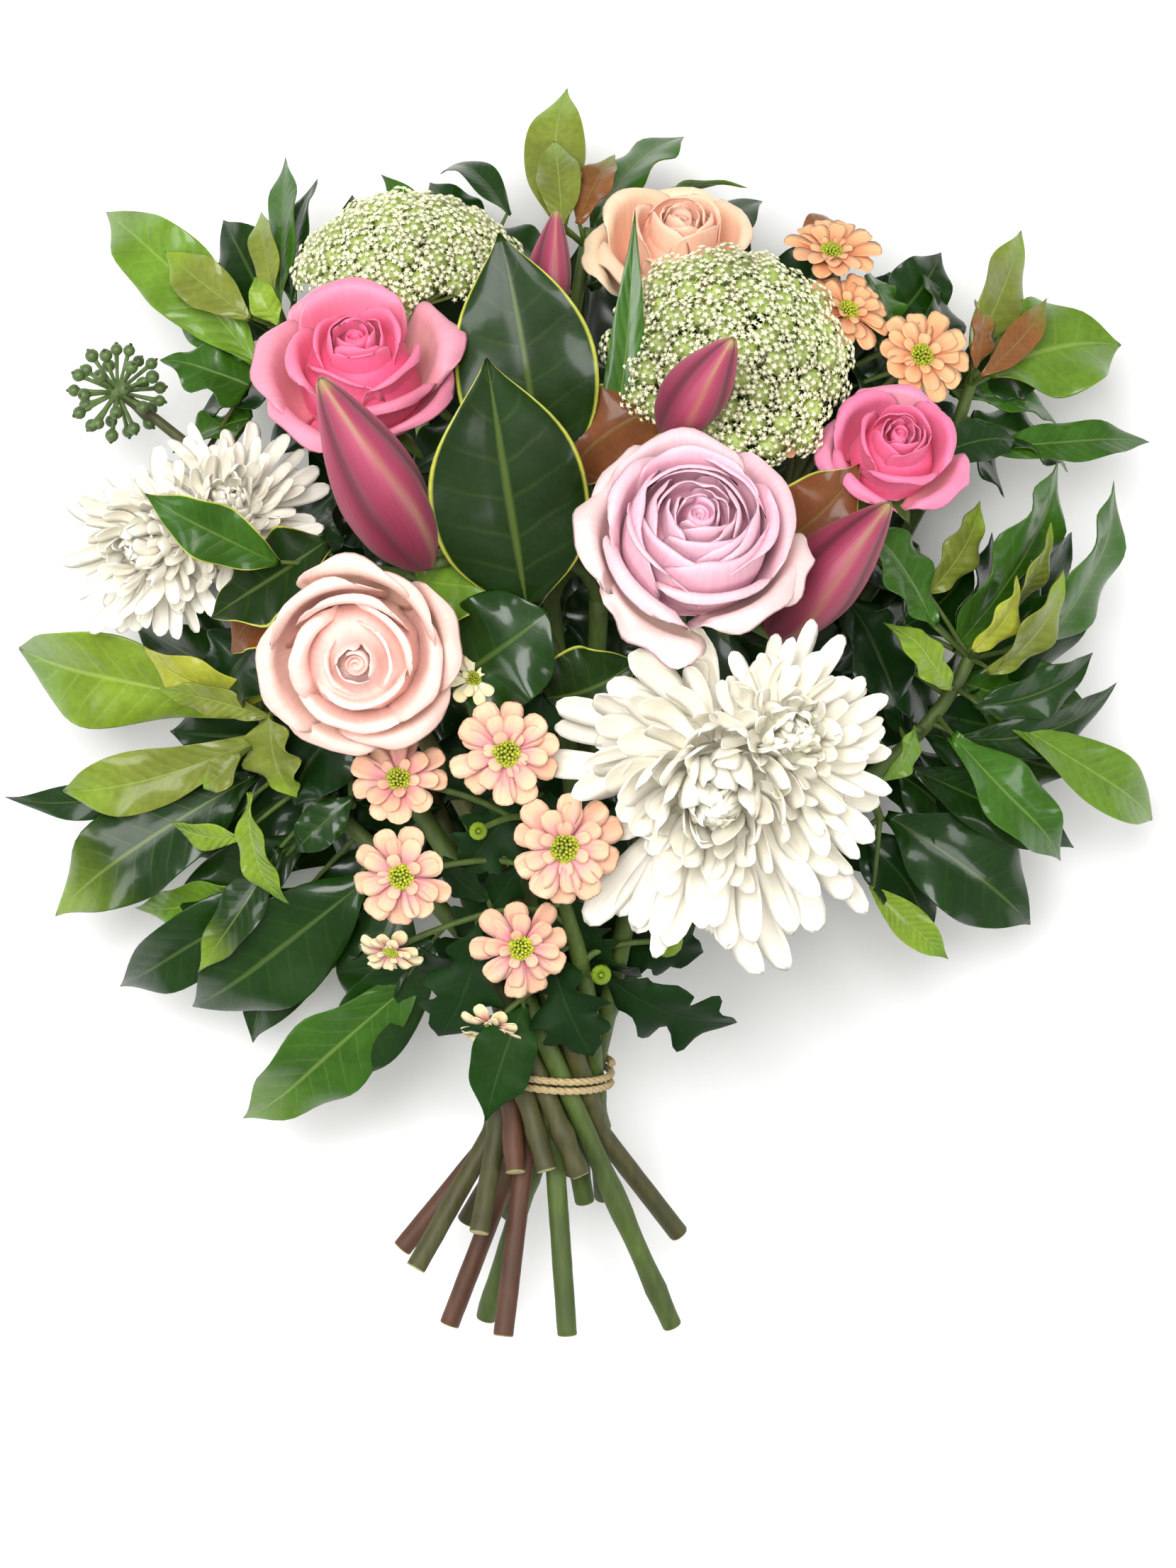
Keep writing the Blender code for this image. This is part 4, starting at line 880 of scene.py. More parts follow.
def leaf_blade(surfaces, base, tip, width, face, look, outline="leaf", arch=0.06, cup=0.16, curl=0.0, twist=0.0,
               wave=0.5, seed=0, edge=None):
    """One leaf from base to tip with its upper side towards face."""
    rng = np.random.default_rng(seed)
    bend = rng.uniform(-0.08, 0.08)
    twist += rng.uniform(-0.3, 0.3)
    cup *= rng.uniform(0.8, 1.7)
    curl += rng.uniform(0.0, 0.1) if wave > 0.4 else 0.0
    span = np.linalg.norm(tip - base)
    s = np.linspace(0, 1, LEAF_ROWS)[:, None]
    t = LEAF_COLUMNS[None, :]
    grid = (LEAF_ROWS, LEAF_COLUMNS.size)
    line = tip - base
    along = unit(line)
    up = unit(face - along * np.dot(face, along))
    across = np.cross(along, up)
    half = half_widths(outline, s) * width * 0.56 * np.sqrt(1 - 0.97 * s ** 14)
    lift = arch * 4 * s * (1 - s) - curl * np.maximum(0.0, (s - 0.6) / 0.4) ** 2
    bent = bend * 4 * s * (1 - s)
    centre = base + line * s[..., None] + (up * lift[..., None] + across * bent[..., None]) * span
    turn = (twist * (s - 0.3))[..., None]
    out = across * np.cos(turn) + up * np.sin(turn)
    rise = up * np.cos(turn) - across * np.sin(turn)
    side = t * half
    phase = rng.uniform(0, 2 * math.pi, 2)
    ripples = 1.6 + 1.5 * rng.random()
    ripple = np.where(t < 0, *(np.sin(2 * math.pi * ripples * s + shift) for shift in phase))
    lifted = cup * np.abs(side) + wave * 0.19 * width * ripple * np.abs(t) ** 2.2 * np.minimum(1, 4 * (1 - s))
    lifted = lifted - 0.10 * half * np.abs(t) ** 5
    forward = 0.22 * np.abs(side) * np.sin(math.pi * s) if outline in ("lobed", "ivy") else 0.0 * side
    middle = centre + out * side[..., None] + along * forward[..., None]
    greens = settings().greenery
    thickness = greens.leaf_thickness / MM
    top = middle + rise * (lifted + thickness / 2)[..., None]
    under = middle + rise * (lifted - thickness / 2)[..., None]
    face_name, under_name, tip_name, veins = LOOKS[look]
    upper = lit(rgba(getattr(greens, face_name), veins), rng.uniform(0.88, 1.14))
    tints = blend(upper, rgba(getattr(greens, tip_name), veins), np.broadcast_to(smooth(0.55, 1.0, s), grid))
    edged = (np.abs(t) > 0.95) * (1 - smooth(0.97, 1.0, s))
    rim = rgba(edge, 0.0) if edge is not None else upper * (1.35, 1.25, 1.0, 1)
    tints = blend(tints, rim, np.broadcast_to(edged, grid) * (1.0 if edge is not None else 0.35))
    below = lit(rgba(getattr(greens, under_name), veins * 0.7), 0.85)
    count = max(6.0, min(14.0, 3.8 * span / width))
    surfaces.shell(top, under, tints, np.broadcast_to(below, tints.shape), count, t[0])


def leaves(surfaces, lines, table, shoots, stalk_tint, seed=0):
    """Leaves on the shoots. Each row is base, tip, width, look and, if any, how the blade is shaped."""
    for k, (base, tip, width, look, *more) in enumerate(table):
        options = dict(*more)
        low, high = seen(base), seen(tip)
        face = vec(*options.pop("face", (low + high) / 2 - HEART))
        root = nearest(low, shoots)
        leaf_blade(surfaces, low, high, width * drawn_in(base[2]), face, look, seed=seed + k, **options)
        into = low + (high - low) * 0.04
        lines.put(bezier([root, (root + low) / 2 + (high - low) * 0.03, into], (0, 0.5, 1)), (1.2, 0.95, 0.7),
                  stalk_tint)


# Roses. Each petal gives the way it points in the picture and its half angle, in degrees; its belly, its lip and
# its top as shares of the bloom's radius and height; then how far the lip droops, how far the rim rolls back,
# how much it ruffles, and how pale it is.
LAVENDER_PETALS = (
    (80, 66, 0.56, 0.62, 0.98, 0.02, 0.03, 0.6, 0.10), (345, 62, 0.58, 0.66, 0.93, 0.03, 0.04, 0.6, 0.12),
    (215, 60, 0.60, 0.64, 0.93, 0.02, 0.05, 0.4, 0.20), (150, 50, 0.64, 0.76, 0.92, 0.04, 0.08, 0.5, 0.30),
    (275, 56, 0.66, 0.74, 0.80, 0.05, 0.09, 0.6, 0.30), (20, 52, 0.72, 0.86, 0.84, 0.06, 0.07, 0.4, 0.40),
    (100, 56, 0.74, 0.90, 0.86, 0.06, 0.07, 1.0, 0.55), (225, 46, 0.72, 0.84, 0.74, 0.07, 0.12, 0.8, 0.45),
    (310, 46, 0.76, 0.94, 0.62, 0.10, 0.10, 0.9, 0.75), (175, 40, 0.78, 0.98, 0.68, 0.10, 0.12, 1.4, 0.85),
    (240, 40, 0.78, 1.06, 0.44, 0.16, 0.07, 3.0, 1.0), (345, 30, 0.78, 1.02, 0.54, 0.10, 0.12, 1.2, 0.95),
    (60, 46, 0.78, 0.90, 0.68, 0.10, 0.07, 1.0, 0.65), (125, 40, 0.80, 0.96, 0.68, 0.10, 0.09, 1.4, 0.80),
)
HOT_PINK_PETALS = (
    (280, 70, 0.34, 0.32, 0.98, 0.00, 0.02, 0.3, 0.0), (160, 66, 0.38, 0.36, 0.96, 0.02, 0.05, 0.4, 0.05),
    (40, 64, 0.40, 0.42, 0.96, 0.02, 0.06, 0.4, 0.10), (250, 58, 0.46, 0.47, 0.86, 0.02, 0.06, 0.4, 0.10),
    (320, 56, 0.52, 0.56, 0.84, 0.04, 0.08, 0.5, 0.20), (190, 54, 0.56, 0.66, 0.84, 0.05, 0.08, 0.5, 0.30),
    (95, 58, 0.60, 0.78, 0.96, 0.04, 0.06, 0.7, 0.45), (290, 58, 0.66, 0.70, 0.70, 0.05, 0.13, 0.6, 0.35),
    (175, 48, 0.74, 1.04, 0.72, 0.10, 0.08, 0.8, 0.75), (25, 38, 0.74, 1.02, 0.78, 0.12, 0.14, 1.4, 0.90),
    (235, 52, 0.80, 0.98, 0.56, 0.10, 0.10, 0.8, 0.60), (320, 50, 0.80, 0.92, 0.52, 0.08, 0.08, 0.8, 0.50),
    (100, 44, 0.78, 0.98, 0.80, 0.10, 0.06, 1.2, 0.70),
)
BLUSH_PETALS = (
    (200, 80, 0.30, 0.26, 0.92, 0.02, 0.05, 0.3, 0.05), (20, 76, 0.36, 0.32, 0.95, 0.02, 0.06, 0.3, 0.10),
    (280, 80, 0.44, 0.42, 0.84, 0.03, 0.08, 0.3, 0.20), (165, 58, 0.50, 0.54, 0.96, 0.05, 0.17, 0.3, 0.30),
    (40, 60, 0.50, 0.52, 1.00, 0.03, 0.08, 0.4, 0.25), (90, 64, 0.60, 0.68, 1.06, 0.03, 0.06, 0.6, 0.35),
    (255, 60, 0.62, 0.68, 0.74, 0.05, 0.09, 0.5, 0.40), (350, 56, 0.66, 0.80, 0.84, 0.06, 0.09, 0.6, 0.50),
    (120, 56, 0.74, 0.88, 1.04, 0.04, 0.06, 0.9, 0.55), (190, 50, 0.78, 0.98, 0.78, 0.08, 0.09, 0.8, 0.70),
    (300, 48, 0.80, 0.98, 0.56, 0.10, 0.08, 0.9, 0.75), (240, 42, 0.82, 1.00, 0.52, 0.12, 0.08, 1.0, 0.80),
    (15, 40, 0.80, 1.04, 0.80, 0.10, 0.07, 0.9, 0.80), (52, 44, 0.76, 0.94, 0.96, 0.05, 0.06, 0.8, 0.7),
    (85, 44, 0.82, 1.04, 1.02, 0.05, 0.06, 1.6, 1.0),
)
SMALL_PETALS = (
    (300, 68, 0.42, 0.36, 0.98, 0.01, 0.03, 0.3, 0.05), (60, 66, 0.46, 0.42, 0.98, 0.02, 0.05, 0.4, 0.10),
    (180, 64, 0.52, 0.52, 0.94, 0.03, 0.07, 0.4, 0.15), (270, 56, 0.60, 0.64, 0.82, 0.05, 0.10, 0.5, 0.30),
    (20, 54, 0.66, 0.78, 0.88, 0.06, 0.10, 0.6, 0.40), (130, 54, 0.70, 0.86, 0.90, 0.06, 0.09, 0.7, 0.50),
    (225, 50, 0.76, 0.92, 0.66, 0.10, 0.12, 0.8, 0.65), (320, 46, 0.80, 1.00, 0.58, 0.12, 0.12, 1.0, 0.80),
    (80, 46, 0.82, 1.04, 0.74, 0.12, 0.10, 1.4, 0.90), (180, 42, 0.84, 1.06, 0.58, 0.14, 0.10, 1.2, 0.95),
)
# The rings of thin petals round the heart, as shares of the bloom's radius; how many petals a ring has, and
# how far it is turned from the one inside it, in degrees.
FULL_HEART = (0.13, 0.19, 0.25, 0.31, 0.37, 0.43, 0.49)
OPEN_HEART = (0.15, 0.22, 0.29)
HEART_PETALS = 3
HEART_TURN = 47
# The bud inside a bloom and the green cup below it: heights and reaches in shares.
ROSE_BUD = ((0.0, 0.0), (0.02, 0.5), (0.3, 0.62), (0.54, 0.54), (0.72, 0.38), (0.83, 0.2), (0.84, 0.0))
ROSE_CUP = ((-0.16, 0.0), (-0.14, 0.1), (-0.06, 0.19), (0.02, 0.17), (0.06, 0.0))
SEPALS = 5
SEPAL_WIDTH = 7.5
SEPAL_OUTLINE = ((0, 0.5), (0.3, 0.95), (0.6, 1.0), (0.85, 0.5), (1, 0.05))
ROSES = (
    ("rose_hot_pink_left", (-88, 162, 165), (-0.03, 0.62, 0.78), 38, HOT_PINK_PETALS, OPEN_HEART[:2],
     "hot_pink", "pink_petals"),
    ("rose_lavender", (41, 96, 205), (0.12, 0.45, 0.88), 43, LAVENDER_PETALS, FULL_HEART, "lavender",
     "lavender_petals"),
    ("rose_blush", (-88, 48, 195), (-0.03, -0.2, 0.97), 38, BLUSH_PETALS, OPEN_HEART[:1], "blush",
     "blush_petals"),
    ("rose_hot_pink_right", (118, 129, 150), (0.15, 0.5, 0.85), 27, SMALL_PETALS, OPEN_HEART, "deep_pink",
     "pink_petals"),
    ("rose_peach", (35, 207, 104), (0.1, 0.75, 0.65), 33, SMALL_PETALS, OPEN_HEART, "peach", "blush_petals"),
)
ROSE_STEMS = {
    "rose_hot_pink_left": (2, 52, (-0.25, 0.6, 0.6), 3.0, "green"),
    "rose_lavender": (18, 48, (0.05, 0.35, 0.9), 3.3, "green"),
    "rose_blush": (8, 66, (-0.15, 0.2, 0.95), 3.3, "olive"),
    "rose_hot_pink_right": (6, 108, (0.3, 0.6, 0.65), 2.7, "green"),
    "rose_peach": (4, 100, (0.1, 0.85, 0.45), 2.8, "brown"),
}
BLUSH_ROSE_LEAVES = (
    ((-54, 38, 172), (-15, 66, 186), 42, "dark", {"outline": "round", "cup": 0.1}),
)


class Rose:
    """A rose's place: the foot of the bloom, which way it faces, and its real radius and height."""

    def __init__(self, centre, axis, radius):
        self.radius = radius * drawn_in(centre[2])
        self.height = self.radius * 1.12
        self.turn = turned_to(axis)
        self.foot = seen(centre) - unit(vec(*axis)) * self.height * 0.6

    def put(self, surfaces, reach, rise, angle, tints, depth, mark):
        """A petal from arrays of its reach and rise in shares, and its angle round the bloom."""
        out = reach * self.radius
        local = np.stack([out * np.cos(angle), out * np.sin(angle), rise * self.height + 0 * out], axis=-1)
        inward = units(np.cross(np.gradient(local, axis=0), np.gradient(local, axis=1)))
        if (inward[..., :2] * local[..., :2])[: len(local) // 2].sum() > 0:
            inward = -inward
        outer, inner = (self.foot + side @ self.turn.T for side in (local, local + inward * depth))
        surfaces.shell(inner, outer, tints, tints * (1.02, 1.0, 0.99, 1), mark)


def rose_petal(surfaces, rose, petal, heart, rim_tint, depth, rng, size=17):
    """A cupped petal with a rounded outline, whose rim rolls back, most of all at its two shoulders."""
    points_to, half_angle, belly, lip, top, droop, roll, ruffle, pale = petal
    aim = rose.turn.T @ vec(math.cos(math.radians(points_to)), math.sin(math.radians(points_to)), 0)
    s = np.append(np.linspace(0, 0.97, size - 1), 1.0)[:, None]
    t = np.linspace(-1, 1, size)[None, :]
    climb = s * (1 - rng.uniform(0.22, 0.34) * np.abs(t) ** 2.2)
    profile = bezier([(0.05, 0.0), (belly * 1.2, -0.03), (belly, top * 0.72),
                      (belly + (lip - belly) * 0.3, top * 1.06), (lip, top - droop)], climb)
    spread = math.radians(half_angle) * (0.25 + 0.75 * smooth(0.0, 0.5, s)) * np.sqrt(1 - 0.3 * s ** 6)
    rim = smooth(0.68, 1.0, s) ** 1.4
    flank = smooth(0.7, 1.0, np.abs(t)) * smooth(0.4, 0.85, s)
    shoulder = np.exp(-((np.abs(t) - 0.6) / 0.3) ** 2)
    roll *= 0.75
    turned = 2.0 * np.maximum(rim * (0.5 + 0.6 * shoulder), 0.7 * flank)
    phase = rng.uniform(0, 6, 3)
    waves = np.sin(3.1 * t + phase[0]) + 0.6 * np.sin(7.3 * t + phase[1])
    sway = np.sin(4.7 * t + phase[2]) + 0.4 * np.sin(9.1 * t + phase[0])
    lean, flat = rng.uniform(0.04, 0.09), rng.uniform(-0.03, 0.07)
    reach = profile[..., 0] * (1 + lean * t + flat * t ** 2)
    reach = reach + roll * np.sin(turned) + 0.022 * ruffle * rim * waves
    rise = profile[..., 1] - roll * (1 - np.cos(turned)) + 0.026 * ruffle * rim * sway
    middle, outer = blend(heart, rim_tint, 0.7 * pale), blend(heart, rim_tint, 0.15 + pale)
    tints = blend(middle, outer, smooth(0.3, 1.0, s) * (0.75 + 0.25 * t ** 2))
    tints = lit(tints, rng.uniform(0.97, 1.03))
    cream = 0.5 * max(0.0, pale - 0.6) / 0.4 * (1 - smooth(0.4, 0.9, s)) + 0 * t
    tints = blend(tints, rgba((0.93, 0.91, 0.76)), cream)
    tints = blend(tints, heart * (0.8, 0.55, 0.7, 1), 0.6 * pale * (s > 0.99) + 0 * t)
    rose.put(surfaces, reach, rise, math.atan2(aim[1], aim[0]) + spread * t, tints, depth, rng.uniform(0, 50))


def rose_heart(surfaces, rose, heart, depth, rng):
    """The tight scroll in the middle of a rose."""
    s = np.linspace(0, 1, 9)[:, None]
    t = np.linspace(0, 1, 57)[None, :]
    angle = 5.2 * math.pi * t + rng.uniform(0, 6)
    reach = (0.025 + 0.12 * t) * (0.75 + 0.45 * np.sin(math.pi * np.minimum(1, 0.25 + 0.6 * s)))
    rise = 0.1 + (0.82 + 0.05 * t + 0.02 * np.sin(9 * t)) * s - 0.03 * s * (1 - t)
    # Painted shade: the scroll is darker towards its foot, down in the middle of the bloom.
    tints = heart * (0.85 + 0.15 * s[..., None]) * np.ones((*rise.shape, 1))
    rose.put(surfaces, reach, rise, angle + 0 * s, tints, depth * 0.7, 7.0)


def rose_bloom(name, centre, axis, radius, petals, rings, shades, slot, seed):
    blooms = settings().blooms
    heart, rim = (rgba(getattr(blooms, f"{shades}_{part}")) for part in ("heart", "rim"))
    rng = np.random.default_rng(seed)
    rose = Rose(centre, axis, radius)
    surfaces = Surfaces()
    depth = blooms.petal_thickness / MM
    rose_heart(surfaces, rose, heart, depth, rng)
    surfaces.turned(rose.foot, rose.turn, sized(ROSE_BUD, rose.height, rose.radius), heart * (0.97, 0.9, 0.9, 1))
    for layer, reach in enumerate(rings):
        for k in range(HEART_PETALS):
            points_to = 360 / HEART_PETALS * k + HEART_TURN * layer + rng.uniform(-18, 18)
            petal = (points_to, rng.uniform(58, 78), reach * 1.3 + 0.04, reach,
                     1.02 - 0.2 * reach + rng.uniform(-0.02, 0.02), 0.0, rng.uniform(0.005, 0.035),
                     rng.uniform(0.2, 0.9), 0.05)
            rose_petal(surfaces, rose, petal, heart, rim, depth, rng, 13)
    for petal in petals:
        rose_petal(surfaces, rose, petal, heart, rim, depth, rng)
    green = rgba(settings().stems.green)
    surfaces.turned(rose.foot, rose.turn, sized(ROSE_CUP, rose.height, rose.radius), green)
    dress(surfaces.finish(name + "_bloom", petal_finish(name + "_petals")), slot, name)


def sepal(surfaces, rose, root, tip, tint):
    """A narrow channelled sepal in the rose's own frame, bowed towards +Z and drooping at its tip."""
    s = np.linspace(0, 1, 7)[:, None]
    t = np.linspace(-1, 1, 5)[None, :]
    line = tip - root
    span = np.linalg.norm(line)
    up = unit(UP - unit(line) * unit(line)[2])
    across = np.cross(unit(line), up)
    half = np.interp(s, *zip(*SEPAL_OUTLINE)) * SEPAL_WIDTH / 2
    rise = 0.4 * s * (1 - s) * span + 0.25 * np.abs(t * half) - 0.1 * span * s ** 2
    middle = root + line * s[..., None] + across * (t * half)[..., None] + up * rise[..., None]
    sides = [rose.foot + (middle + up * depth) @ rose.turn.T for depth in (0.3, -0.3)]
    tints = np.broadcast_to(tint, (*rise.shape, 4))
    surfaces.shell(*sides, tints, tints)


def rose_stem(name, centre, axis, radius):
    """The stem of a rose with its sepals, and the leaves of the blush rose."""
    slot, tail, arrival, head_radius, shade = ROSE_STEMS[name]
    rose = Rose(centre, axis, radius)
    stem = StemLine(slot, tail, rose.foot, arrival)
    stems = settings().stems
    lines = Lines()
    tint = rgba(getattr(stems, shade))
    put_stem(lines, stem, head_radius, tint)
    surfaces = Surfaces()
    down = rose.turn.T @ unit(stem.points[-2] - stem.points[-1])
    for k in range(SEPALS):
        out = polar_vector(math.radians(100), 2 * math.pi * k / SEPALS)
        root = out * 0.8 + down * 0.2 * rose.height
        sepal(surfaces, rose, root, root + out * radius * 0.66, rgba(stems.green))
    if name == "rose_blush":
        leaves(surfaces, lines, BLUSH_ROSE_LEAVES, [stem.points], tint)
    dress(lines.finish(name + "_stalk"), "stems", name + "_stem")
    dress(surfaces.finish(name + "_sepals", "leaf_glossy"), "stems", name + "_stem")


# White chrysanthemums. Each head gives its place, the way it faces, its radius, how many petals it has,
# how far its outer petals sag and which way lies a floret that leaves its petals less room.
NO_NEIGHBOUR = (0, 0, 0)
WHITE_HEADS = {
    "chrysanthemum_white_right": (
        ((50, 2, 182), (-0.05, -0.3, 0.95), 70, 175, (-2, -12, -4), (-0.91, -0.41, 0)),
        ((75, 18, 190), (0.25, 0.1, 0.95), 46, 95, (4, 2, 0), NO_NEIGHBOUR),
    ),
    "chrysanthemum_white_left": (
        ((-165, 93, 118), (-0.35, -0.15, 0.9), 42, 140, (-1, -3, -2), NO_NEIGHBOUR),
        ((-138, 104, 124), (0.1, 0.3, 0.93), 38, 115, (2, 3, 0), NO_NEIGHBOUR),
    ),
}
WHITE_STEMS = {
    "chrysanthemum_white_right": (17, 70, (0.15, 0.1, 0.95)),
    "chrysanthemum_white_left": (9, 99, (-0.5, 0.4, 0.7)),
}
WHITE_CORE = 0.36
WHITE_CUP = ((-1.2, 0.0), (-0.7, 0.6), (0.0, 0.95), (0.5, 0.75), (0.75, 0.0))
WHITE_DOME = ((0.0, 0.0), (0.0, 0.2), (0.14, 0.2), (0.24, 0.13), (0.28, 0.0))
# The half width of a petal at shares of its length, as shares of its full half.
STRAP = ((0, 0.4), (0.3, 0.62), (0.62, 0.94), (0.82, 1.0), (0.93, 0.86), (0.98, 0.55), (1, 0.2))


def strap_petal(surfaces, root, control, tip, up, width, channel, tints, mark, rows=9, stations=STRAP):
    """A channelled petal along a curve from root to tip, with its hollow side towards up."""
    s = 1 - (1 - np.linspace(0, 1, rows)) ** 1.6
    t = np.linspace(-1, 1, 5)[None, :]
    centre = bezier([root, control, tip], s)
    tangent = units(np.gradient(centre, axis=0))
    rise = units(up - tangent * (tangent @ up)[:, None])
    across = np.cross(tangent, rise)
    half = np.interp(s, *zip(*stations))[:, None] * width / 2
    lifted = channel * half * np.abs(t) ** 1.6
    middle = centre[:, None] + across[:, None] * (t * half)[..., None] + rise[:, None] * lifted[..., None]
    sides = [middle + rise[:, None] * depth for depth in (0.3, -0.3)]
    grid = blend(*tints, np.broadcast_to(smooth(0.15, 0.9, s)[:, None], (rows, 5)))
    surfaces.shell(*sides, grid, grid, mark)


def white_head(surfaces, centre, axis, radius, petals, sag, neighbour, rng):
    """Strap petals in a golden-angle spiral; the inner ones curve inwards over the middle."""
    blooms = settings().blooms
    radius *= drawn_in(centre[2])
    origin, turn = seen(centre), turned_to(axis)
    core = WHITE_CORE * radius
    white, heart = rgba(blooms.white_petal), rgba(blooms.white_heart)
    cup_tints = [rgba(settings().stems.green)] * 2 + [heart] * 3
    surfaces.turned(origin, turn, sized(WHITE_CUP, core, core), cup_tints)
    surfaces.turned(origin, turn, sized(WHITE_DOME, radius, radius), heart)
    for k in range(petals):
        place = (k + 0.5) / petals
        azimuth = k * GOLDEN_ANGLE + rng.uniform(-0.2, 0.2)
        polar = math.radians(2 + 104 * place ** 0.74) + rng.uniform(-0.08, 0.08)
        out = turn @ polar_vector(polar, azimuth)
        up = -(turn @ polar_vector(polar + math.pi / 2, azimuth))
        reach = radius * (0.34 + 0.66 * place ** 0.62) * rng.uniform(0.84 - 0.14 * place, 1.02 + 0.1 * place)
        reach *= 1 - 0.42 * smooth(0.84, 0.94, out @ vec(*neighbour))
        side = np.cross(out, up)
        tip = out + up * (0.10 + 0.5 * (1 - place) ** 2) + side * rng.uniform(-0.16, 0.16)
        control = out * 0.62 - up * 0.12 * rng.uniform(0.2, 1.9) + side * rng.uniform(-0.14, 0.14)
        width = radius * (0.15 + 0.03 * place) * rng.uniform(0.75, 1.15)
        shade = rng.uniform(0.97, 1.02)
        base = blend(heart, white, min(1.0, 0.1 + 2.6 * place))
        end = blend(heart, white, min(1.0, 0.3 + 5 * place)) * shade
        strap_petal(surfaces, origin + out * core * 0.55, origin + control * reach,
                    origin + tip * reach + vec(*sag) * place, unit(up + side * rng.uniform(-0.5, 0.5)), width,
                    rng.uniform(0.25, 0.7), (base, end), rng.uniform(0, 90))


def white_chrysanthemum(name, heads, seed):
    rng = np.random.default_rng(seed)
    surfaces = Surfaces()
    for head in heads:
        white_head(surfaces, *head, rng)
    petals = petal_finish(name + "_white", roughness=0.6, lines=9.0, bump=0.12, glow=0.25)
    dress(surfaces.finish(name + "_petals", petals), "white_petals", name)
    slot, tail, arrival = WHITE_STEMS[name]
    centre, axis, radius = heads[0][:3]
    foot = seen(centre) - unit(vec(*axis)) * WHITE_CORE * radius
    lines = Lines()
    stem = StemLine(slot, tail, foot, arrival)
    put_stem(lines, stem, HEAD_RADII["white"], rgba(settings().stems.green))
    dress(lines.finish(name + "_stalk"), "stems", name + "_stem")


# Spray chrysanthemums. Each floret gives its place, the way it faces, its radius, its petals in each layer,
# its colours, and how far up the stem its stalk leaves it.
FULL, MIDDLE, SMALL, FADED = (10, 9, 6), (9, 8, 5), (7, 5, 3), (9, 6, 4)
FRONT_FLORETS = (
    ("spray_floret_front_1", (-31, 12, 186), (-0.05, -0.1, 1), 22, FULL, "spray", 1.0),
    ("spray_floret_front_2", (-9, -24, 180), (0.05, -0.15, 1), 23, FULL, "spray", 0.62),
    ("spray_floret_front_3", (-71, -35, 160), (-0.2, -0.15, 1), 21, MIDDLE, "spray", 0.5),
    ("spray_floret_front_4", (-72, 1, 158), (-0.1, 0.35, 0.9), 20, MIDDLE, "spray", 0.6),
    ("spray_floret_front_5", (-26, -62, 136), (0.1, -0.3, 0.9), 20, MIDDLE, "spray", 0.48),
    ("spray_floret_front_6", (-37, -92, 118), (-0.2, -0.8, 0.6), 13, FADED, "faded", 0.3),
    ("spray_floret_front_7", (-75, -63, 134), (-0.2, -0.8, 0.6), 13, FADED, "faded", 0.4),
    ("cream_blossom", (-44, 40, 178), (0.2, 0.2, 1), 12, SMALL, "cream", 0.75),
)
RIGHT_FLORETS = (
    ("spray_floret_right_1", (93, 202, 110), (0.1, 0.7, 0.7), 19, FULL, "apricot", 0.88),
    ("spray_floret_right_2", (99, 180, 118), (0.3, 0.5, 0.8), 18, FULL, "apricot", 1.0),
    ("spray_floret_right_3", (127, 163, 118), (0.3, 0.3, 0.9), 20, FULL, "apricot", 0.79),
    ("spray_floret_right_4", (78, 132, 148), (0.1, 0.3, 0.9), 9, SMALL, "apricot", 0.75),
)
# Most of these leaves take the darkest look, which is partly painted shade in the gaps between the florets.
FRONT_LEAVES = (
    ((4, -70, 116), (57, -92, 100), 36, "deep", LOBED),
    ((-14, -64, 124), (2, -104, 118), 32, "deep", LOBED),
    ((-42, -52, 128), (-58, -98, 112), 30, "deep", LOBED),
    ((-38, -44, 142), (-56, -28, 144), 14, "deep"),
    ((-24, -84, 116), (-39, -129, 116), 24, "dark"),
    ((-20, -50, 118), (20, -76, 104), 34, "deep", LOBED),
    ((-24, -4, 150), (-48, -34, 148), 26, "deep", LOBED),
    ((-18, -2, 152), (6, -34, 146), 26, "deep", LOBED),
    ((-22, 6, 154), (-14, 44, 158), 24, "deep", LOBED),
    ((-26, -30, 136), (-50, -60, 122), 24, "deep", LOBED),
    ((-16, -34, 134), (2, -66, 118), 26, "deep", LOBED),
    ((-30, -60, 116), (-64, -72, 104), 34, "deep", LOBED),
    ((0, -50, 112), (44, -66, 98), 34, "deep", LOBED),
    ((-20, -30, 128), (16, -10, 132), 30, "deep", LOBED),
    ((-30, -10, 136), (-52, 14, 140), 26, "deep", LOBED),
)
FRONT_BUDS = (((5, -73, 124), 4.0, 0.3), ((30, -60, 112), 6.5, 0.32), ((-42, -18, 168), 3.5, 0.7))
SPRAY_STEMS = {
    "spray_stem_front": (7, 56, (-0.1, 0.35, 0.95), FRONT_FLORETS, FRONT_BUDS, FRONT_LEAVES, "green",
                         "spray_foliage"),
    "spray_stem_right": (14, 78, (0.2, 0.9, 0.35), RIGHT_FLORETS, (), (), "olive", "stems"),
}
PETAL_SLOTS = {"spray": "peach_petals", "apricot": "apricot_petals", "faded": "white_petals",
               "cream": "white_petals"}
SPOON = ((0, 0.3), (0.3, 0.5), (0.62, 0.92), (0.8, 1.0), (0.92, 0.84), (0.98, 0.55), (1, 0.25))
FLORET_CUP = ((-0.3, 0.0), (-0.26, 0.12), (-0.1, 0.26), (0.04, 0.24), (0.12, 0.0))
GREEN_BUD = ((-1.0, 0.0), (-0.8, 0.55), (-0.3, 0.96), (0.2, 0.98), (0.65, 0.7), (0.9, 0.3), (0.95, 0.0))
DISC_FLORETS = 70
DISC_SHAPE = (((-1.0, 0), (-0.2, 0.9), (0.6, 0.8), (1.2, 0)), 6)
# The layers of petals of a floret: their reach, width and lift, and how far each is turned, in petals.
FLORET_LAYERS = ((1.0, 0.50, 0.10, 0.0), (0.8, 0.40, 0.26, 0.5), (0.5, 0.27, 0.5, 0.2))


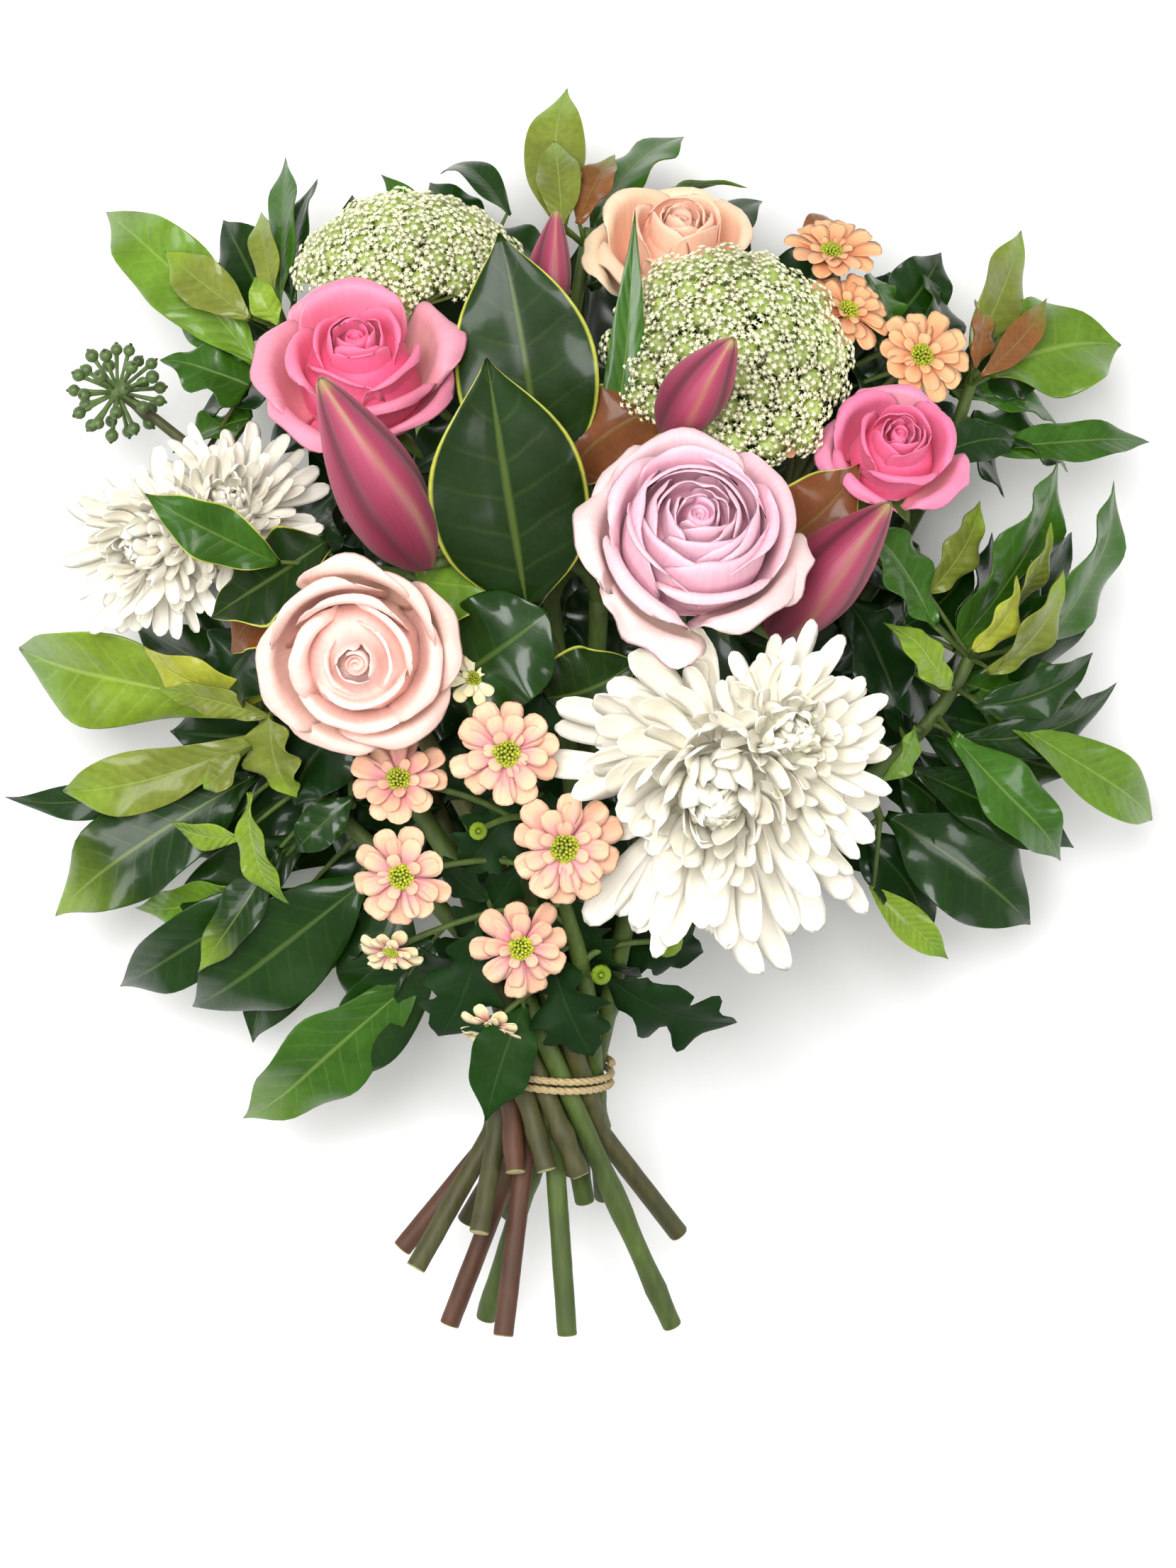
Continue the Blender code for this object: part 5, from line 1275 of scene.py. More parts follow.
def floret_colours(shades):
    blooms = settings().blooms
    if shades in ("faded", "cream"):
        tip = linear(blooms.white_heart) * (0.95, 0.84, 0.62)
        base = linear(blooms.spray_base if shades == "faded" else blooms.white_heart) * 0.85
        return np.array((*base, 0.0)), np.array((*tip, 0.0))
    return rgba(getattr(blooms, shades + "_base")), rgba(getattr(blooms, shades + "_tip"))


def floret(surfaces, middles, centre, axis, radius, counts, shades, rng):
    """Spoon petals in three layers round a disc, on a small green cup."""
    radius *= drawn_in(centre[2])
    origin, turn = seen(centre), turned_to(axis)
    base, tip = floret_colours(shades)
    for (reach, width, lift, turned_by), count in zip(FLORET_LAYERS, counts, strict=True):
        for k in range(count):
            azimuth = 2 * math.pi * (k + turned_by) / count + rng.uniform(-0.12, 0.12)
            out = unit(vec(math.cos(azimuth), math.sin(azimuth), lift + rng.uniform(-0.1, 0.12)))
            extent = radius * reach * rng.uniform(0.88, 1.03)
            up = turn @ unit(vec(0, 0, 1) - out * out[2])
            out = turn @ out
            droop = up * extent * rng.uniform(-0.12, 0.1)
            shade = rng.uniform(0.92, 1.05)
            strap_petal(surfaces, origin + out * radius * 0.12, origin + out * extent * 0.55 + up * extent * 0.1,
                        origin + out * extent + droop, up, radius * width * rng.uniform(0.85, 1.05), 0.35,
                        (base * shade, tip * shade), rng.uniform(0, 90), 8, SPOON)
    surfaces.turned(origin, turn, sized(FLORET_CUP, radius, radius), rgba(settings().stems.green))
    disc = rgba(settings().blooms.disc)
    for k in range(DISC_FLORETS):
        out = polar_vector(math.radians(80) * math.sqrt((k + 0.4) / DISC_FLORETS), k * GOLDEN_ANGLE)
        spot = origin + turn @ (out * vec(0.24, 0.24, 0.1) * radius + vec(0, 0, 0.1 * radius))
        light = 0.85 + 0.25 * (k % 3) / 2
        middles.put(spot, turn @ out, radius * 0.044, lit(disc, light))


def spray(name, slot, tail, arrival, florets, buds, table, shade, slot_name, seed):
    """A branching stem of spray chrysanthemums with its florets, buds and lobed leaves."""
    rng = np.random.default_rng(seed)
    petals = petal_finish(name + "_petals", lines=8.0, bump=0.5)
    for floret_name, centre, axis, radius, counts, shades, _ in florets:
        surfaces, middles = Surfaces(), Copies()
        floret(surfaces, middles, centre, axis, radius, counts, shades, rng)
        dress(surfaces.finish(floret_name + "_petals", petals), PETAL_SLOTS[shades], floret_name)
        shape = small_shape(*DISC_SHAPE)
        dress(middles.finish(floret_name + "_disc", shape, 0.3, "disc_skin"), PETAL_SLOTS[shades])
    stems = settings().stems
    tint = rgba(getattr(stems, shade))
    ends = [(place, seen(centre)) for _, centre, _, _, _, _, place in florets]
    head = next(end for place, end in ends if place == 1.0)
    stem = StemLine(slot, tail, head, arrival)
    shoots = [stem.points] + [twig_line(stem, place, end) for place, end in ends if place < 1]
    shoots += [twig_line(stem, place, seen(centre)) for centre, _, place in buds]
    lines, surfaces = Lines(), Surfaces()
    put_stem(lines, stem, HEAD_RADII["spray"], tint)
    for shoot in shoots[1:]:
        lines.put(shoot, np.linspace(1.5, 1.1, len(shoot)), tint)
    bud_tint = rgba(settings().greenery.fresh)
    for centre, radius, _ in buds:
        # Painted shade: the lower rings of each bud are darker, on the side turned from the light.
        tints = [bud_tint * 0.7] * 3 + [bud_tint] * 4
        surfaces.turned(seen(centre), np.eye(3), sized(GREEN_BUD, radius, radius), tints)
    leaves(surfaces, lines, table, shoots, tint, seed)
    dress(lines.finish(name + "_stalks"), slot_name, name)
    if surfaces.points:
        dress(surfaces.finish(name + "_leaves", "leaf_soft"), slot_name, name)


# Lily buds: foot, tip and width of each. Their stem gives its slot, its tail, its head and the way it arrives.
LILY_BUDS = (
    ("lily_bud_1", (-61, 82, 184), (-103, 156, 212), 35),
    ("lily_bud_2", (-17, 172, 140), (-12, 220, 146), 19),
    ("lily_bud_3", (30, 132, 172), (56, 171, 208), 26),
    ("lily_bud_4", (70, 55, 148), (116, 108, 172), 33),
)
LILY_STEM = (0, 40, (4, 70, 132), (0, 0.85, 0.5))
LILY_LEAVES = (((2, 84, 138), (18, 220, 160), 13, "middle", {"wave": 0.2}),)
LILY_SIDES = 48
LILY_RINGS = ((0.0, 0.0), (0.015, 0.2), (0.05, 0.42), (0.12, 0.68), (0.2, 0.85), (0.32, 0.97), (0.42, 1.0),
              (0.54, 0.92), (0.66, 0.77), (0.78, 0.56), (0.88, 0.37), (0.95, 0.2), (0.985, 0.1), (1.0, 0.0))


def lily_bud(name, foot, tip, width, seed):
    """A closed bud of three wide and three narrow tepals, with a keel along each wide one."""
    blooms = settings().blooms
    foot, tip = seen(foot), seen(tip)
    length_of = np.linalg.norm(tip - foot)
    turn = turned_to(tip - foot)
    heights = np.concatenate([[0.015, 0.03], np.linspace(0.06, 0.96, 26), [0.975, 0.99]])
    places, reaches = np.array(LILY_RINGS).T
    reach = np.interp(heights, places, reaches)
    reach[1:-1] = (reach[:-2] + reach[1:-1] * 2 + reach[2:]) / 4
    angle = 2 * math.pi * np.arange(LILY_SIDES) / LILY_SIDES
    spin = angle[None, :] + 0.5 * heights[:, None]
    keel = np.abs(np.cos(1.5 * spin)) ** 10
    seam = np.sin(1.5 * spin)
    groove = np.exp(-(seam - 1) ** 2 / 0.004) + np.exp(-(seam + 1) ** 2 / 0.004)
    body = 1 - 0.09 + 0.09 * np.cos(3 * spin) + 0.02 * keel - 0.05 * groove
    out = width / 2 * reach[:, None] * body
    rings = np.stack([out * np.cos(angle), out * np.sin(angle),
                      np.broadcast_to(heights[:, None] * length_of, out.shape)], axis=-1)
    lily, shade, stripe = rgba(blooms.lily), rgba(blooms.lily_shade), rgba(blooms.lily_keel)
    tints = blend(shade, lily, smooth(0.0, 0.75, heights[:, None]) * (0.75 + 0.25 * np.cos(3 * spin)))
    band = np.exp(-(seam ** 2) / 0.02)
    tints = blend(tints, stripe, 0.75 * band * (0.35 + 0.65 * smooth(0.5, 1.0, heights[:, None])))
    tints = blend(tints, stripe * 1.15, 0.7 * smooth(0.9, 1.0, heights)[:, None] * np.ones_like(spin))
    tints = blend(tints, shade * 0.6, 0.7 * np.clip(groove, 0, 1))
    surfaces = Surfaces()
    flat = np.concatenate([tints[0, :1], tints.reshape(-1, 4), tints[-1, :1]])
    surfaces.rounded(foot + rings @ turn.T, foot, tip, flat, seed)
    skin = petal_finish(name + "_skin", roughness=0.5, lines=40.0, bump=0.3, glow=0.05)
    dress(surfaces.finish(name + "_tepals", skin), "lily_buds", name)


def lily_stalks():
    stems = settings().stems
    slot, tail, head, arrival = LILY_STEM
    stem = StemLine(slot, tail, seen(head), arrival)
    tint = rgba(stems.green)
    lines, surfaces = Lines(), Surfaces()
    put_stem(lines, stem, HEAD_RADII["lily"], tint)
    for _, foot, tip, _ in LILY_BUDS:
        foot, tip = seen(foot), seen(tip)
        shoot = twig_line(stem, 0.97, foot + unit(tip - foot) * 2)
        lines.put(shoot, np.linspace(2.5, 2.1, len(shoot)), tint)
    leaves(surfaces, lines, LILY_LEAVES, [stem.points], tint)
    dress(lines.finish("lily_stalks"), "stems", "lily_stem")
    dress(surfaces.finish("lily_leaves", "leaf_glossy"), "stems", "lily_stem")


# Lace flowers: slot, stem length, hub, the way it faces, radius, how far its rays spread, stem colour.
LACE_FLOWERS = (
    ("lace_flower_left", 3, 100, (-68, 182, 98), (-0.05, 0.9, 0.45), 46, 68, "green"),
    ("lace_flower_right", 5, 103, (52, 154, 126), (0.05, 0.33, 0.94), 50, 66, "brown"),
)
UMBELLETS = 60
UMBELLET_FLORETS = 30
UMBELLET_SPREAD = 74
UMBELLET_SIZE = 0.155
STAR_SIZE = 1.12
STAR_SHAPE = (((-0.5, 0), (0.15, 1.75), (0.75, 0)), 10, 0.5)
# The cushion in each small umbel: rises and reaches in shares of its size.
CUSHION = ((-0.5, 0.1), (-0.1, 0.6), (0.35, 0.74), (0.6, 0.3))


def lace_flower(name, slot, tail, hub, axis, radius, spread, shade, seed):
    """Rays from the hub to small umbels, each a cushion of star florets on hair-thin stalks."""
    rng = np.random.default_rng(seed)
    blooms = settings().blooms
    stem = StemLine(slot, tail, seen(hub), axis)
    radius *= drawn_in(hub[2])
    origin, turn = seen(hub), turned_to(axis)
    lines, rays_of, florets = Lines(), Lines(), Copies()
    stalk, lace = rgba(blooms.lace_stalk), rgba(blooms.lace)
    tint = rgba(getattr(settings().stems, shade))
    put_stem(lines, stem, HEAD_RADII["lace"], tint, stalk)
    lines.put([origin - turn @ UP * 3, origin, origin + turn @ UP * 2], (2.8, 4.2, 3.0), stalk)
    spread = math.radians(spread)
    small = radius * UMBELLET_SIZE
    for k in range(UMBELLETS):
        out = polar_vector(spread * math.sqrt((k + 0.4) / UMBELLETS), k * GOLDEN_ANGLE)
        reach = radius / math.sin(spread) * (1 - 0.12 * out[2]) * rng.uniform(0.97, 1.03)
        middle = origin + turn @ out * reach * 0.55 + (turn @ UP) * -radius * 0.05 * out[2]
        top = origin + turn @ out * (reach - small * 0.9)
        rays_of.put(bezier([origin, middle, top], np.linspace(0, 1, 6)), np.linspace(0.85, 0.6, 6), stalk)
        cushion = [top + turn @ out * small * rise for rise, _ in CUSHION]
        rays_of.put(cushion, [small * wide for _, wide in CUSHION], stalk)
        umbel = turned_to(turn @ out)
        for j in range(UMBELLET_FLORETS):
            tilt = math.radians(UMBELLET_SPREAD) * math.sqrt((j + 0.3) / UMBELLET_FLORETS)
            ray = umbel @ polar_vector(tilt, j * GOLDEN_ANGLE + rng.uniform(-0.2, 0.2))
            spot = top + ray * small * rng.uniform(0.95, 1.12)
            if j % 2:
                rays_of.put([top, spot], (0.3, 0.22), stalk)
            light = rng.uniform(0.86, 1.04)
            florets.put(spot, unit(ray + turn @ out), STAR_SIZE, lit(lace, light, 0.97))
    dress(lines.finish(name + "_stalk"), "lace_florets", name)
    dress(rays_of.finish(name + "_rays", 5, False), "lace_florets", name)
    shape = small_shape(*STAR_SHAPE)
    dress(florets.finish(name + "_florets", shape, 0.3, "lace_skin"), "lace_florets", name)


# Ivy: a round head of stalked berries, with leaves beside it.
IVY_HUB = (-180, 150, 74)
IVY_RADIUS = 20.0
IVY_BERRIES = 30
BERRY_RADIUS = 2.9
BERRY_SHAPE = (((-1.1, 0), (-0.85, 0.5), (-0.35, 0.93), (0.2, 0.98), (0.7, 0.7), (0.9, 0.36), (0.82, 0)), 12)
CROWN_SHAPE = (((-0.6, 0), (0.0, 1.0), (0.5, 0.7), (0.9, 0)), 8, 0.7)
IVY_LEAVES = (
    ((-129, 152, 92), (-164, 164, 88), 26, "middle", IVY),
    ((-128, 140, 84), (-160, 128, 74), 24, "middle", IVY),
)


def ivy():
    hub = seen(IVY_HUB)
    stem = StemLine(11, 34, hub, (-0.75, 0.5, 0.0))
    berry = rgba(settings().greenery.berry)
    tint = rgba(settings().stems.olive)
    lines, surfaces, berries, crowns = Lines(), Surfaces(), Copies(), Copies()
    put_stem(lines, stem, HEAD_RADII["ivy"], tint)
    lines.put([hub - vec(4, 0, 0), hub, hub + vec(3, 1, 0)], (2.5, 4.6, 3.0), berry)
    for k in range(IVY_BERRIES):
        out = polar_vector(math.acos(1 - 1.86 * (k + 0.5) / IVY_BERRIES), k * GOLDEN_ANGLE)
        spot = hub + out * (IVY_RADIUS - BERRY_RADIUS)
        stalk = [hub + out * 2, hub + out * 9, spot - out * 2]
        lines.put(stalk, (0.8, 0.7, 0.95), berry * (1.1, 1.1, 1, 1))
        light = 0.8 + 0.3 * (k % 4) / 3
        berries.put(spot, out, BERRY_RADIUS, lit(berry, light))
        crowns.put(spot + out * BERRY_RADIUS * 0.85, out, BERRY_RADIUS * 0.34, berry * (0.5, 0.45, 0.5, 1))
    leaves(surfaces, lines, IVY_LEAVES, [stem.points], tint, SEEDS["ivy"])
    dress(lines.finish("ivy_stalks"), "glossy_leaves", "ivy_berries")
    fruit = berries.finish("ivy_fruit", small_shape(*BERRY_SHAPE), 0.2, "berry_skin")
    dress(fruit, "glossy_leaves", "ivy_berries")
    tops = crowns.finish("ivy_fruit_crowns", small_shape(*CROWN_SHAPE), 0.1, "berry_skin")
    dress(tops, "glossy_leaves", "ivy_berries")
    dress(surfaces.finish("ivy_leaves", "leaf_glossy"), "glossy_leaves", "ivy_berries")


# Magnolia: large stiff leaves with a pale line along the edge and brown felt below.
MAGNOLIA_LEAVES = (
    ((-23, 67, 176), (-39, 163, 200), 56, "magnolia",
     {"face": (0.1, -0.1, 1), "arch": 0.05, "cup": 0.12, "outline": "broad", "wave": 0.15}),
    ((-18, 114, 150), (-34, 211, 160), 50, "magnolia",
     {"face": (-0.1, 0.0, 1), "arch": 0.03, "cup": 0.14, "outline": "broad", "wave": 0.15}),
    ((-9, 118, 154), (34, 146, 160), 34, "felt", BROAD),
    ((60, 86, 150), (104, 122, 160), 32, "felt", BROAD),
    ((-16, 33, 162), (18, 47, 173), 32, "magnolia", {"cup": 0.2, "outline": "broad"}),
    ((-66, 78, 168), (-32, 74, 182), 26, "bright", BROAD),
    ((-100, 93, 150), (-145, 64, 138), 34, "magnolia", BROAD),
    ((-108, 76, 140), (-138, 50, 126), 28, "felt", BROAD),
    ((-118, 84, 156), (-170, 110, 164), 22, "middle"),
)
MAGNOLIA_FORKS = ((0.66, (-100, 84, 142)), (0.8, (60, 84, 142)), (0.68, (-23, 64, 168)))

# Glossy foliage, branch by branch.
LEFT_LEAVES = (
    ((-126, 28, 92), (-222, 48, 62), 39, "fresh", SPOONED),
    ((-123, 33, 112), (-171, 52, 98), 20, "yellow"),
    ((-120, 21, 106), (-202, -3, 74), 23, "olive", SPOONED),
    ((-140, 12, 84), (-225, -6, 48), 15, "dark"),
    ((-121, 28, 120), (-112, -6, 112), 28, "olive", {"wave": 0.55}),
    ((-126, 4, 96), (-208, -51, 58), 36, "tipped", {"curl": 0.08}),
    ((-129, -3, 116), (-117, -48, 100), 15, "fresh", {"twist": 1.2}),
    ((-90, -5, 118), (-114, -27, 112), 16, "dark", {"curl": 0.2}),
    ((-124, -40, 72), (-174, -50, 54), 18, "bright"),
    ((-105, -39, 82), (-183, -85, 46), 27, "dark", {"curl": 0.16}),
    ((-84, -36, 94), (-154, -91, 64), 39, "dark", {"curl": 0.14, "cup": 0.1}),
    ((-63, -72, 88), (-132, -135, 50), 33, "half", {"curl": 0.06}),
    ((-118, -24, 97), (-150, -72, 79), 18, "tipped"),
    ((-121, 25, 114), (-165, 36, 102), 12, "olive"),
    ((-133, 12, 114), (-148, -2, 104), 12, "olive"),
    ((-132, -20, 104), (-160, -15, 96), 12, "fresh"),
    ((-96, -2, 88), (-70, -58, 70), 28, "deep"),
    ((-104, 6, 80), (-150, -28, 58), 30, "deep"),
    ((-80, -20, 84), (-112, -74, 60), 30, "deep"),
    ((-70, -36, 90), (-88, -96, 66), 28, "dark"),
    ((-92, -6, 92), (-56, -10, 96), 26, "deep"),
    ((-110, 14, 84), (-82, 46, 96), 30, "deep"),
    ((-58, -58, 92), (-98, -118, 64), 28, "dark"),
    ((-112, 20, 78), (-160, 20, 60), 28, "deep"),
    ((-124, 34, 84), (-176, 62, 64), 30, "dark"),
    ((-120, 40, 90), (-150, 84, 84), 30, "deep"),
    ((-90, 24, 118), (-114, -8, 112), 34, "deep"),
    ((-120, 58, 116), (-142, 28, 106), 34, "deep"),
    ((-96, 112, 114), (-112, 80, 108), 38, "deep"),
    ((-118, 10, 84), (-176, -28, 54), 30, "dark"),
    ((-108, -20, 84), (-160, -62, 54), 28, "dark"),
    ((-90, -40, 80), (-130, -100, 50), 30, "dark"),
)
RIGHT_LEAVES = (
    ((170, 50, 92), (205, 115, 72), 30, "middle"),
    ((139, 51, 100), (184, 123, 84), 36, "middle"),
    ((132, 60, 118), (103, 103, 130), 25, "middle"),
    ((129, 72, 112), (151, 108, 108), 18, "olive"),
    ((139, 36, 126), (120, 63, 140), 15, "fresh", {"curl": 0.2}),
    ((147, 51, 118), (166, 79, 114), 16, "yellow"),
    ((153, 42, 110), (184, 81, 104), 19, "olive"),
    ((147, 30, 108), (195, 49, 88), 19, "dark"),
    ((138, 18, 104), (205, 37, 70), 18, "dark"),
    ((151, 31, 98), (222, -13, 50), 23, "bright", SPOONED),
    ((139, 19, 114), (187, -28, 92), 25, "middle", {"curl": 0.06}),
    ((123, 6, 92), (188, -25, 64), 22, "dark"),
    ((114, -12, 88), (172, -55, 58), 36, "dark"),
    ((160, 66, 100), (178, 100, 98), 13, "olive"),
    ((108, -39, 84), (138, -67, 64), 13, "fresh"),
    ((125, 22, 130), (116, 0, 144), 12, "bright", {"curl": 0.2}),
    ((124, 14, 74), (168, -40, 50), 30, "deep"),
    ((110, -6, 84), (84, 40, 100), 30, "deep"),
    ((130, 28, 88), (176, 20, 70), 28, "deep"),
    ((134, 36, 92), (156, 96, 80), 30, "deep"),
    ((100, -18, 84), (132, -62, 62), 26, "deep"),
    ((120, 20, 92), (96, 76, 104), 30, "deep"),
    ((150, 56, 88), (186, 96, 66), 32, "dark"),
    ((144, 44, 90), (196, 66, 64), 30, "dark"),
    ((140, 40, 90), (192, 30, 60), 30, "middle"),
    ((128, 20, 86), (186, 4, 60), 30, "dark"),
    ((120, 60, 96), (148, 88, 86), 30, "dark"),
    ((104, 20, 92), (80, -16, 90), 28, "deep"),
    ((96, 100, 90), (130, 60, 80), 34, "deep"),
    ((112, 10, 74), (134, -20, 66), 30, "deep"),
    ((118, 48, 86), (132, 18, 78), 28, "deep"),
    ((90, 40, 80), (132, 76, 76), 34, "deep"),
    ((118, 4, 84), (150, -34, 62), 28, "dark"),
)
TOP_LEAVES = (
    ((-10, 210, 96), (-8, 267, 60), 22, "olive"),
    ((-10, 213, 106), (-13, 247, 80), 16, "olive"),
    ((-4, 214, 98), (10, 242, 80), 14, "reddish"),
    ((2, 212, 66), (35, 250, 52), 27, "middle", SPOONED),
    ((6, 208, 56), (58, 235, 50), 14, "middle", {"curl": 0.12, "twist": 0.8}),
    ((-58, 196, 66), (-79, 234, 58), 13, "middle"),
    ((-30, 217, 84), (-56, 242, 58), 12, "dark", {"curl": 0.2}),
    ((-126, 160, 96), (-191, 223, 58), 28, "bright", {"curl": 0.06}),
    ((-129, 178, 104), (-162, 204, 84), 18, "olive"),
    ((-126, 162, 90), (-158, 178, 70), 16, "middle"),
    ((-118, 180, 100), (-116, 240, 60), 15, "middle"),
    ((-113, 183, 96), (-104, 232, 66), 15, "dark"),
    ((-120, 184, 104), (-127, 220, 84), 12, "olive"),
    ((-118, 176, 110), (-128, 194, 110), 12, "fresh"),
    ((-100, 160, 86), (-150, 140, 70), 28, "deep"),
    ((-84, 150, 84), (-128, 118, 84), 30, "deep"),
    ((-60, 170, 74), (-100, 206, 60), 26, "deep"),
    ((-10, 190, 84), (-44, 214, 70), 24, "dark"),
    ((0, 190, 84), (40, 214, 70), 24, "dark"),
    ((-30, 140, 90), (-70, 120, 100), 30, "deep"),
    ((-118, 170, 80), (-160, 196, 60), 28, "dark"),
    ((-120, 176, 84), (-140, 216, 62), 26, "dark"),
    ((-80, 180, 70), (-92, 226, 56), 24, "dark"),
    ((-40, 200, 70), (-60, 232, 56), 22, "dark"),
    ((30, 200, 80), (66, 226, 62), 24, "dark"),
)
UPPER_RIGHT_LEAVES = (
    ((147, 165, 92), (166, 212, 66), 21, "olive"),
    ((153, 156, 88), (204, 168, 58), 40, "bright"),
    ((147, 159, 100), (150, 186, 88), 12, "reddish"),
    ((150, 156, 100), (176, 186, 80), 12, "reddish"),
    ((138, 150, 82), (183, 141, 60), 14, "middle", {"curl": 0.1}),
    ((129, 123, 104), (166, 132, 84), 16, "dark"),
    ((150, 128, 84), (217, 133, 48), 16, "middle", {"curl": 0.05}),
    ((116, 174, 96), (108, 196, 84), 24, "middle"),
    ((82, 206, 92), (96, 219, 74), 12, "reddish", {"curl": 0.2}),
    ((110, 140, 84), (92, 176, 76), 28, "deep"),
    ((84, 150, 80), (116, 196, 70), 34, "deep"),
    ((96, 140, 78), (130, 184, 68), 36, "deep"),
    ((60, 168, 76), (96, 206, 64), 32, "deep"),
    ((126, 146, 84), (160, 110, 76), 28, "deep"),
    ((100, 150, 84), (66, 176, 76), 26, "deep"),
    ((136, 152, 84), (130, 196, 76), 24, "dark"),
    ((140, 150, 78), (176, 160, 60), 28, "dark"),
    ((146, 140, 78), (186, 122, 60), 26, "dark"),
    ((110, 170, 84), (136, 204, 64), 24, "dark"),
)
BACK_LEAVES = (
    ((-20, 46, 24), (-116, -34, 10), 44), ((20, 46, 24), (114, -36, 10), 44),
    ((-20, 100, 24), (-100, 168, 10), 44), ((20, 100, 24), (102, 168, 10), 44),
    ((0, 112, 26), (0, 212, 16), 42), ((0, 36, 30), (-4, -66, 26), 40),
    ((-30, 74, 34), (-150, 70, 32), 44), ((30, 74, 34), (150, 64, 32), 44),
    ((-20, 50, 46), (-84, -50, 50), 38), ((20, 50, 46), (74, -54, 50), 38),
    ((-10, 115, 50), (-62, 212, 50), 38), ((10, 115, 50), (62, 208, 50), 38),
)
BACK_STEM = (13, 60, (0, 100, 28), (0.0, 1.0, -0.05))
BACK_RESTING = 4
# Filling leaves: a disc of face-up leaves in the darkest look under the blooms. Their dark tint is partly painted
# shade in the gaps.
FILLING_LEAVES = 30
FILLING_REACH = np.array((116, 92, 0))
FILLING_WIDTH = 36
BRANCHES = (
    ("magnolia_branch", 1, 42, (-18, 112, 146), (-0.05, 0.8, 0.55), 3.2, MAGNOLIA_FORKS, MAGNOLIA_LEAVES,
     "brown", "magnolia_leaves", "leaf_leather"),
    ("foliage_left", 10, 36, (-126, 30, 98), (-0.35, 0.9, 0.12), 2.6, ((0.72, (-90, -8, 112)),), LEFT_LEAVES,
     "olive", "glossy_leaves", "leaf_glossy"),
    ("foliage_right", 16, 70, (148, 52, 100), (0.35, 0.85, 0.1), 2.6, ((0.7, (112, -14, 88)),), RIGHT_LEAVES,
     "olive", "glossy_leaves", "leaf_glossy"),
    ("foliage_top", 12, 36, (0, 212, 88), (0.15, 0.95, 0.15), 2.4,
     ((0.62, (-122, 176, 92)), (0.8, (-52, 196, 70))), TOP_LEAVES, "brown", "glossy_leaves", "leaf_glossy"),
    ("foliage_upper_right", 15, 77, (148, 158, 88), (0.25, 0.9, 0.1), 2.4, ((0.83, (90, 198, 86)),),
     UPPER_RIGHT_LEAVES, "brown", "glossy_leaves", "leaf_glossy"),
)


def branch(name, slot, tail, tip, arrival, radius, forks, table, shade, slot_name, finish, seed):
    """A leafy branch: its stem, its forks and its leaves."""
    stems = settings().stems
    tint = rgba(getattr(stems, shade))
    stem = StemLine(slot, tail, seen(tip), arrival)
    shoots = [stem.points] + [twig_line(stem, place, seen(end)) for place, end in forks]
    lines, surfaces = Lines(), Surfaces()
    put_stem(lines, stem, radius, tint, rgba(stems.green))
    for shoot in shoots[1:]:
        lines.put(shoot, radius * 0.8 * np.linspace(1.1, 0.8, len(shoot)), rgba(stems.green))
    if name == "magnolia_branch":
        edge = {"edge": settings().greenery.magnolia_edge}
        table = [(*row[:4], {**dict(*row[4:]), **edge}) for row in table]
    leaves(surfaces, lines, table, shoots, rgba(stems.green), seed)
    dress(lines.finish(name + "_wood"), "stems", name)
    dress(surfaces.finish(name + "_leaves", finish), slot_name, name)


def back_branch():
    """The leaves at the back, upper side down. The resting ones touch the surface."""
    stems = settings().stems
    slot, tail, head, arrival = BACK_STEM
    stem = StemLine(slot, tail, seen(head), arrival)
    lines, surfaces = Lines(), Surfaces()
    put_stem(lines, stem, HEAD_RADII["back"], rgba(stems.olive))
    for k, (base, tip, width) in enumerate(BACK_LEAVES):
        rests = k < BACK_RESTING
        options = {"face": -UP, "arch": 0.13 if rests else 0.05, "cup": 0.0 if rests else 0.1, "wave": 0.2,
                   "outline": "broad"}
        row = (base, tip, width, "deep", options)
        leaves(surfaces, lines, (row,), [stem.points], rgba(stems.green), SEEDS["back"] + k)
        if rests:
            surfaces.points[-1][:, 2] -= surfaces.points[-1][:, 2].min() - 0.05
    # The filling leaves are darkened as painted shade where the floor would show between the blooms.
    for k in range(FILLING_LEAVES):
        share_out = math.sqrt((k + 0.5) / FILLING_LEAVES)
        out = vec(math.cos(k * GOLDEN_ANGLE), math.sin(k * GOLDEN_ANGLE), 0)
        middle = vec(0, 66, 102 - 36 * share_out ** 2) + out * FILLING_REACH * share_out
        ends = (middle - out * 26 + UP * 4, middle + out * 30 - UP * 8)
        row = (*ends, FILLING_WIDTH, "deep", {"face": UP, "outline": "broad"})
        leaves(surfaces, lines, (row,), [stem.points], rgba(stems.green), SEEDS["filling"] + k)
    dress(lines.finish("foliage_back_wood"), "stems", "foliage_back")
    dress(surfaces.finish("foliage_back_leaves", "leaf_glossy"), "back_leaves", "foliage_back")


def tie():
    """Turns of twisted twine that follow the waist of the bundle."""
    stems = settings().stems
    right, front = binding_sides()
    outer = SLOT_SPACING * SLOT_RINGS[-1][1]
    pitch = 2 * TWINE_RADIUS + TURN_GAP
    points = []
    for k in range(TIE_TURNS * TURN_POINTS + 1):
        turn = 2 * math.pi * k / TURN_POINTS
        rise = pitch * (k / TURN_POINTS - TIE_TURNS / 2)
        reach = outer * math.hypot(1, SPIRAL * rise) + STEM_RADIUS + TWINE_GAP + TWINE_RADIUS
        points.append(BINDING + BUNDLE_AXIS * rise + (right * math.cos(turn) + front * math.sin(turn)) * reach)
    mesh = settled_mesh("line", points, [(k, k + 1) for k in range(len(points) - 1)])
    give(mesh, "tint", "FLOAT_COLOR", [rgba(stems.twine)] * len(points))
    values = {"Radius": TWINE_RADIUS * MM, "Strands": TWINE_STRANDS, "Points": TWINE_POINTS,
              "Twist": 2 * math.pi * stems.strand_turns * TIE_TURNS}
    dress(grow("tie_twine", mesh, "twine", values, "twine_fibre"), "twine", "tie")


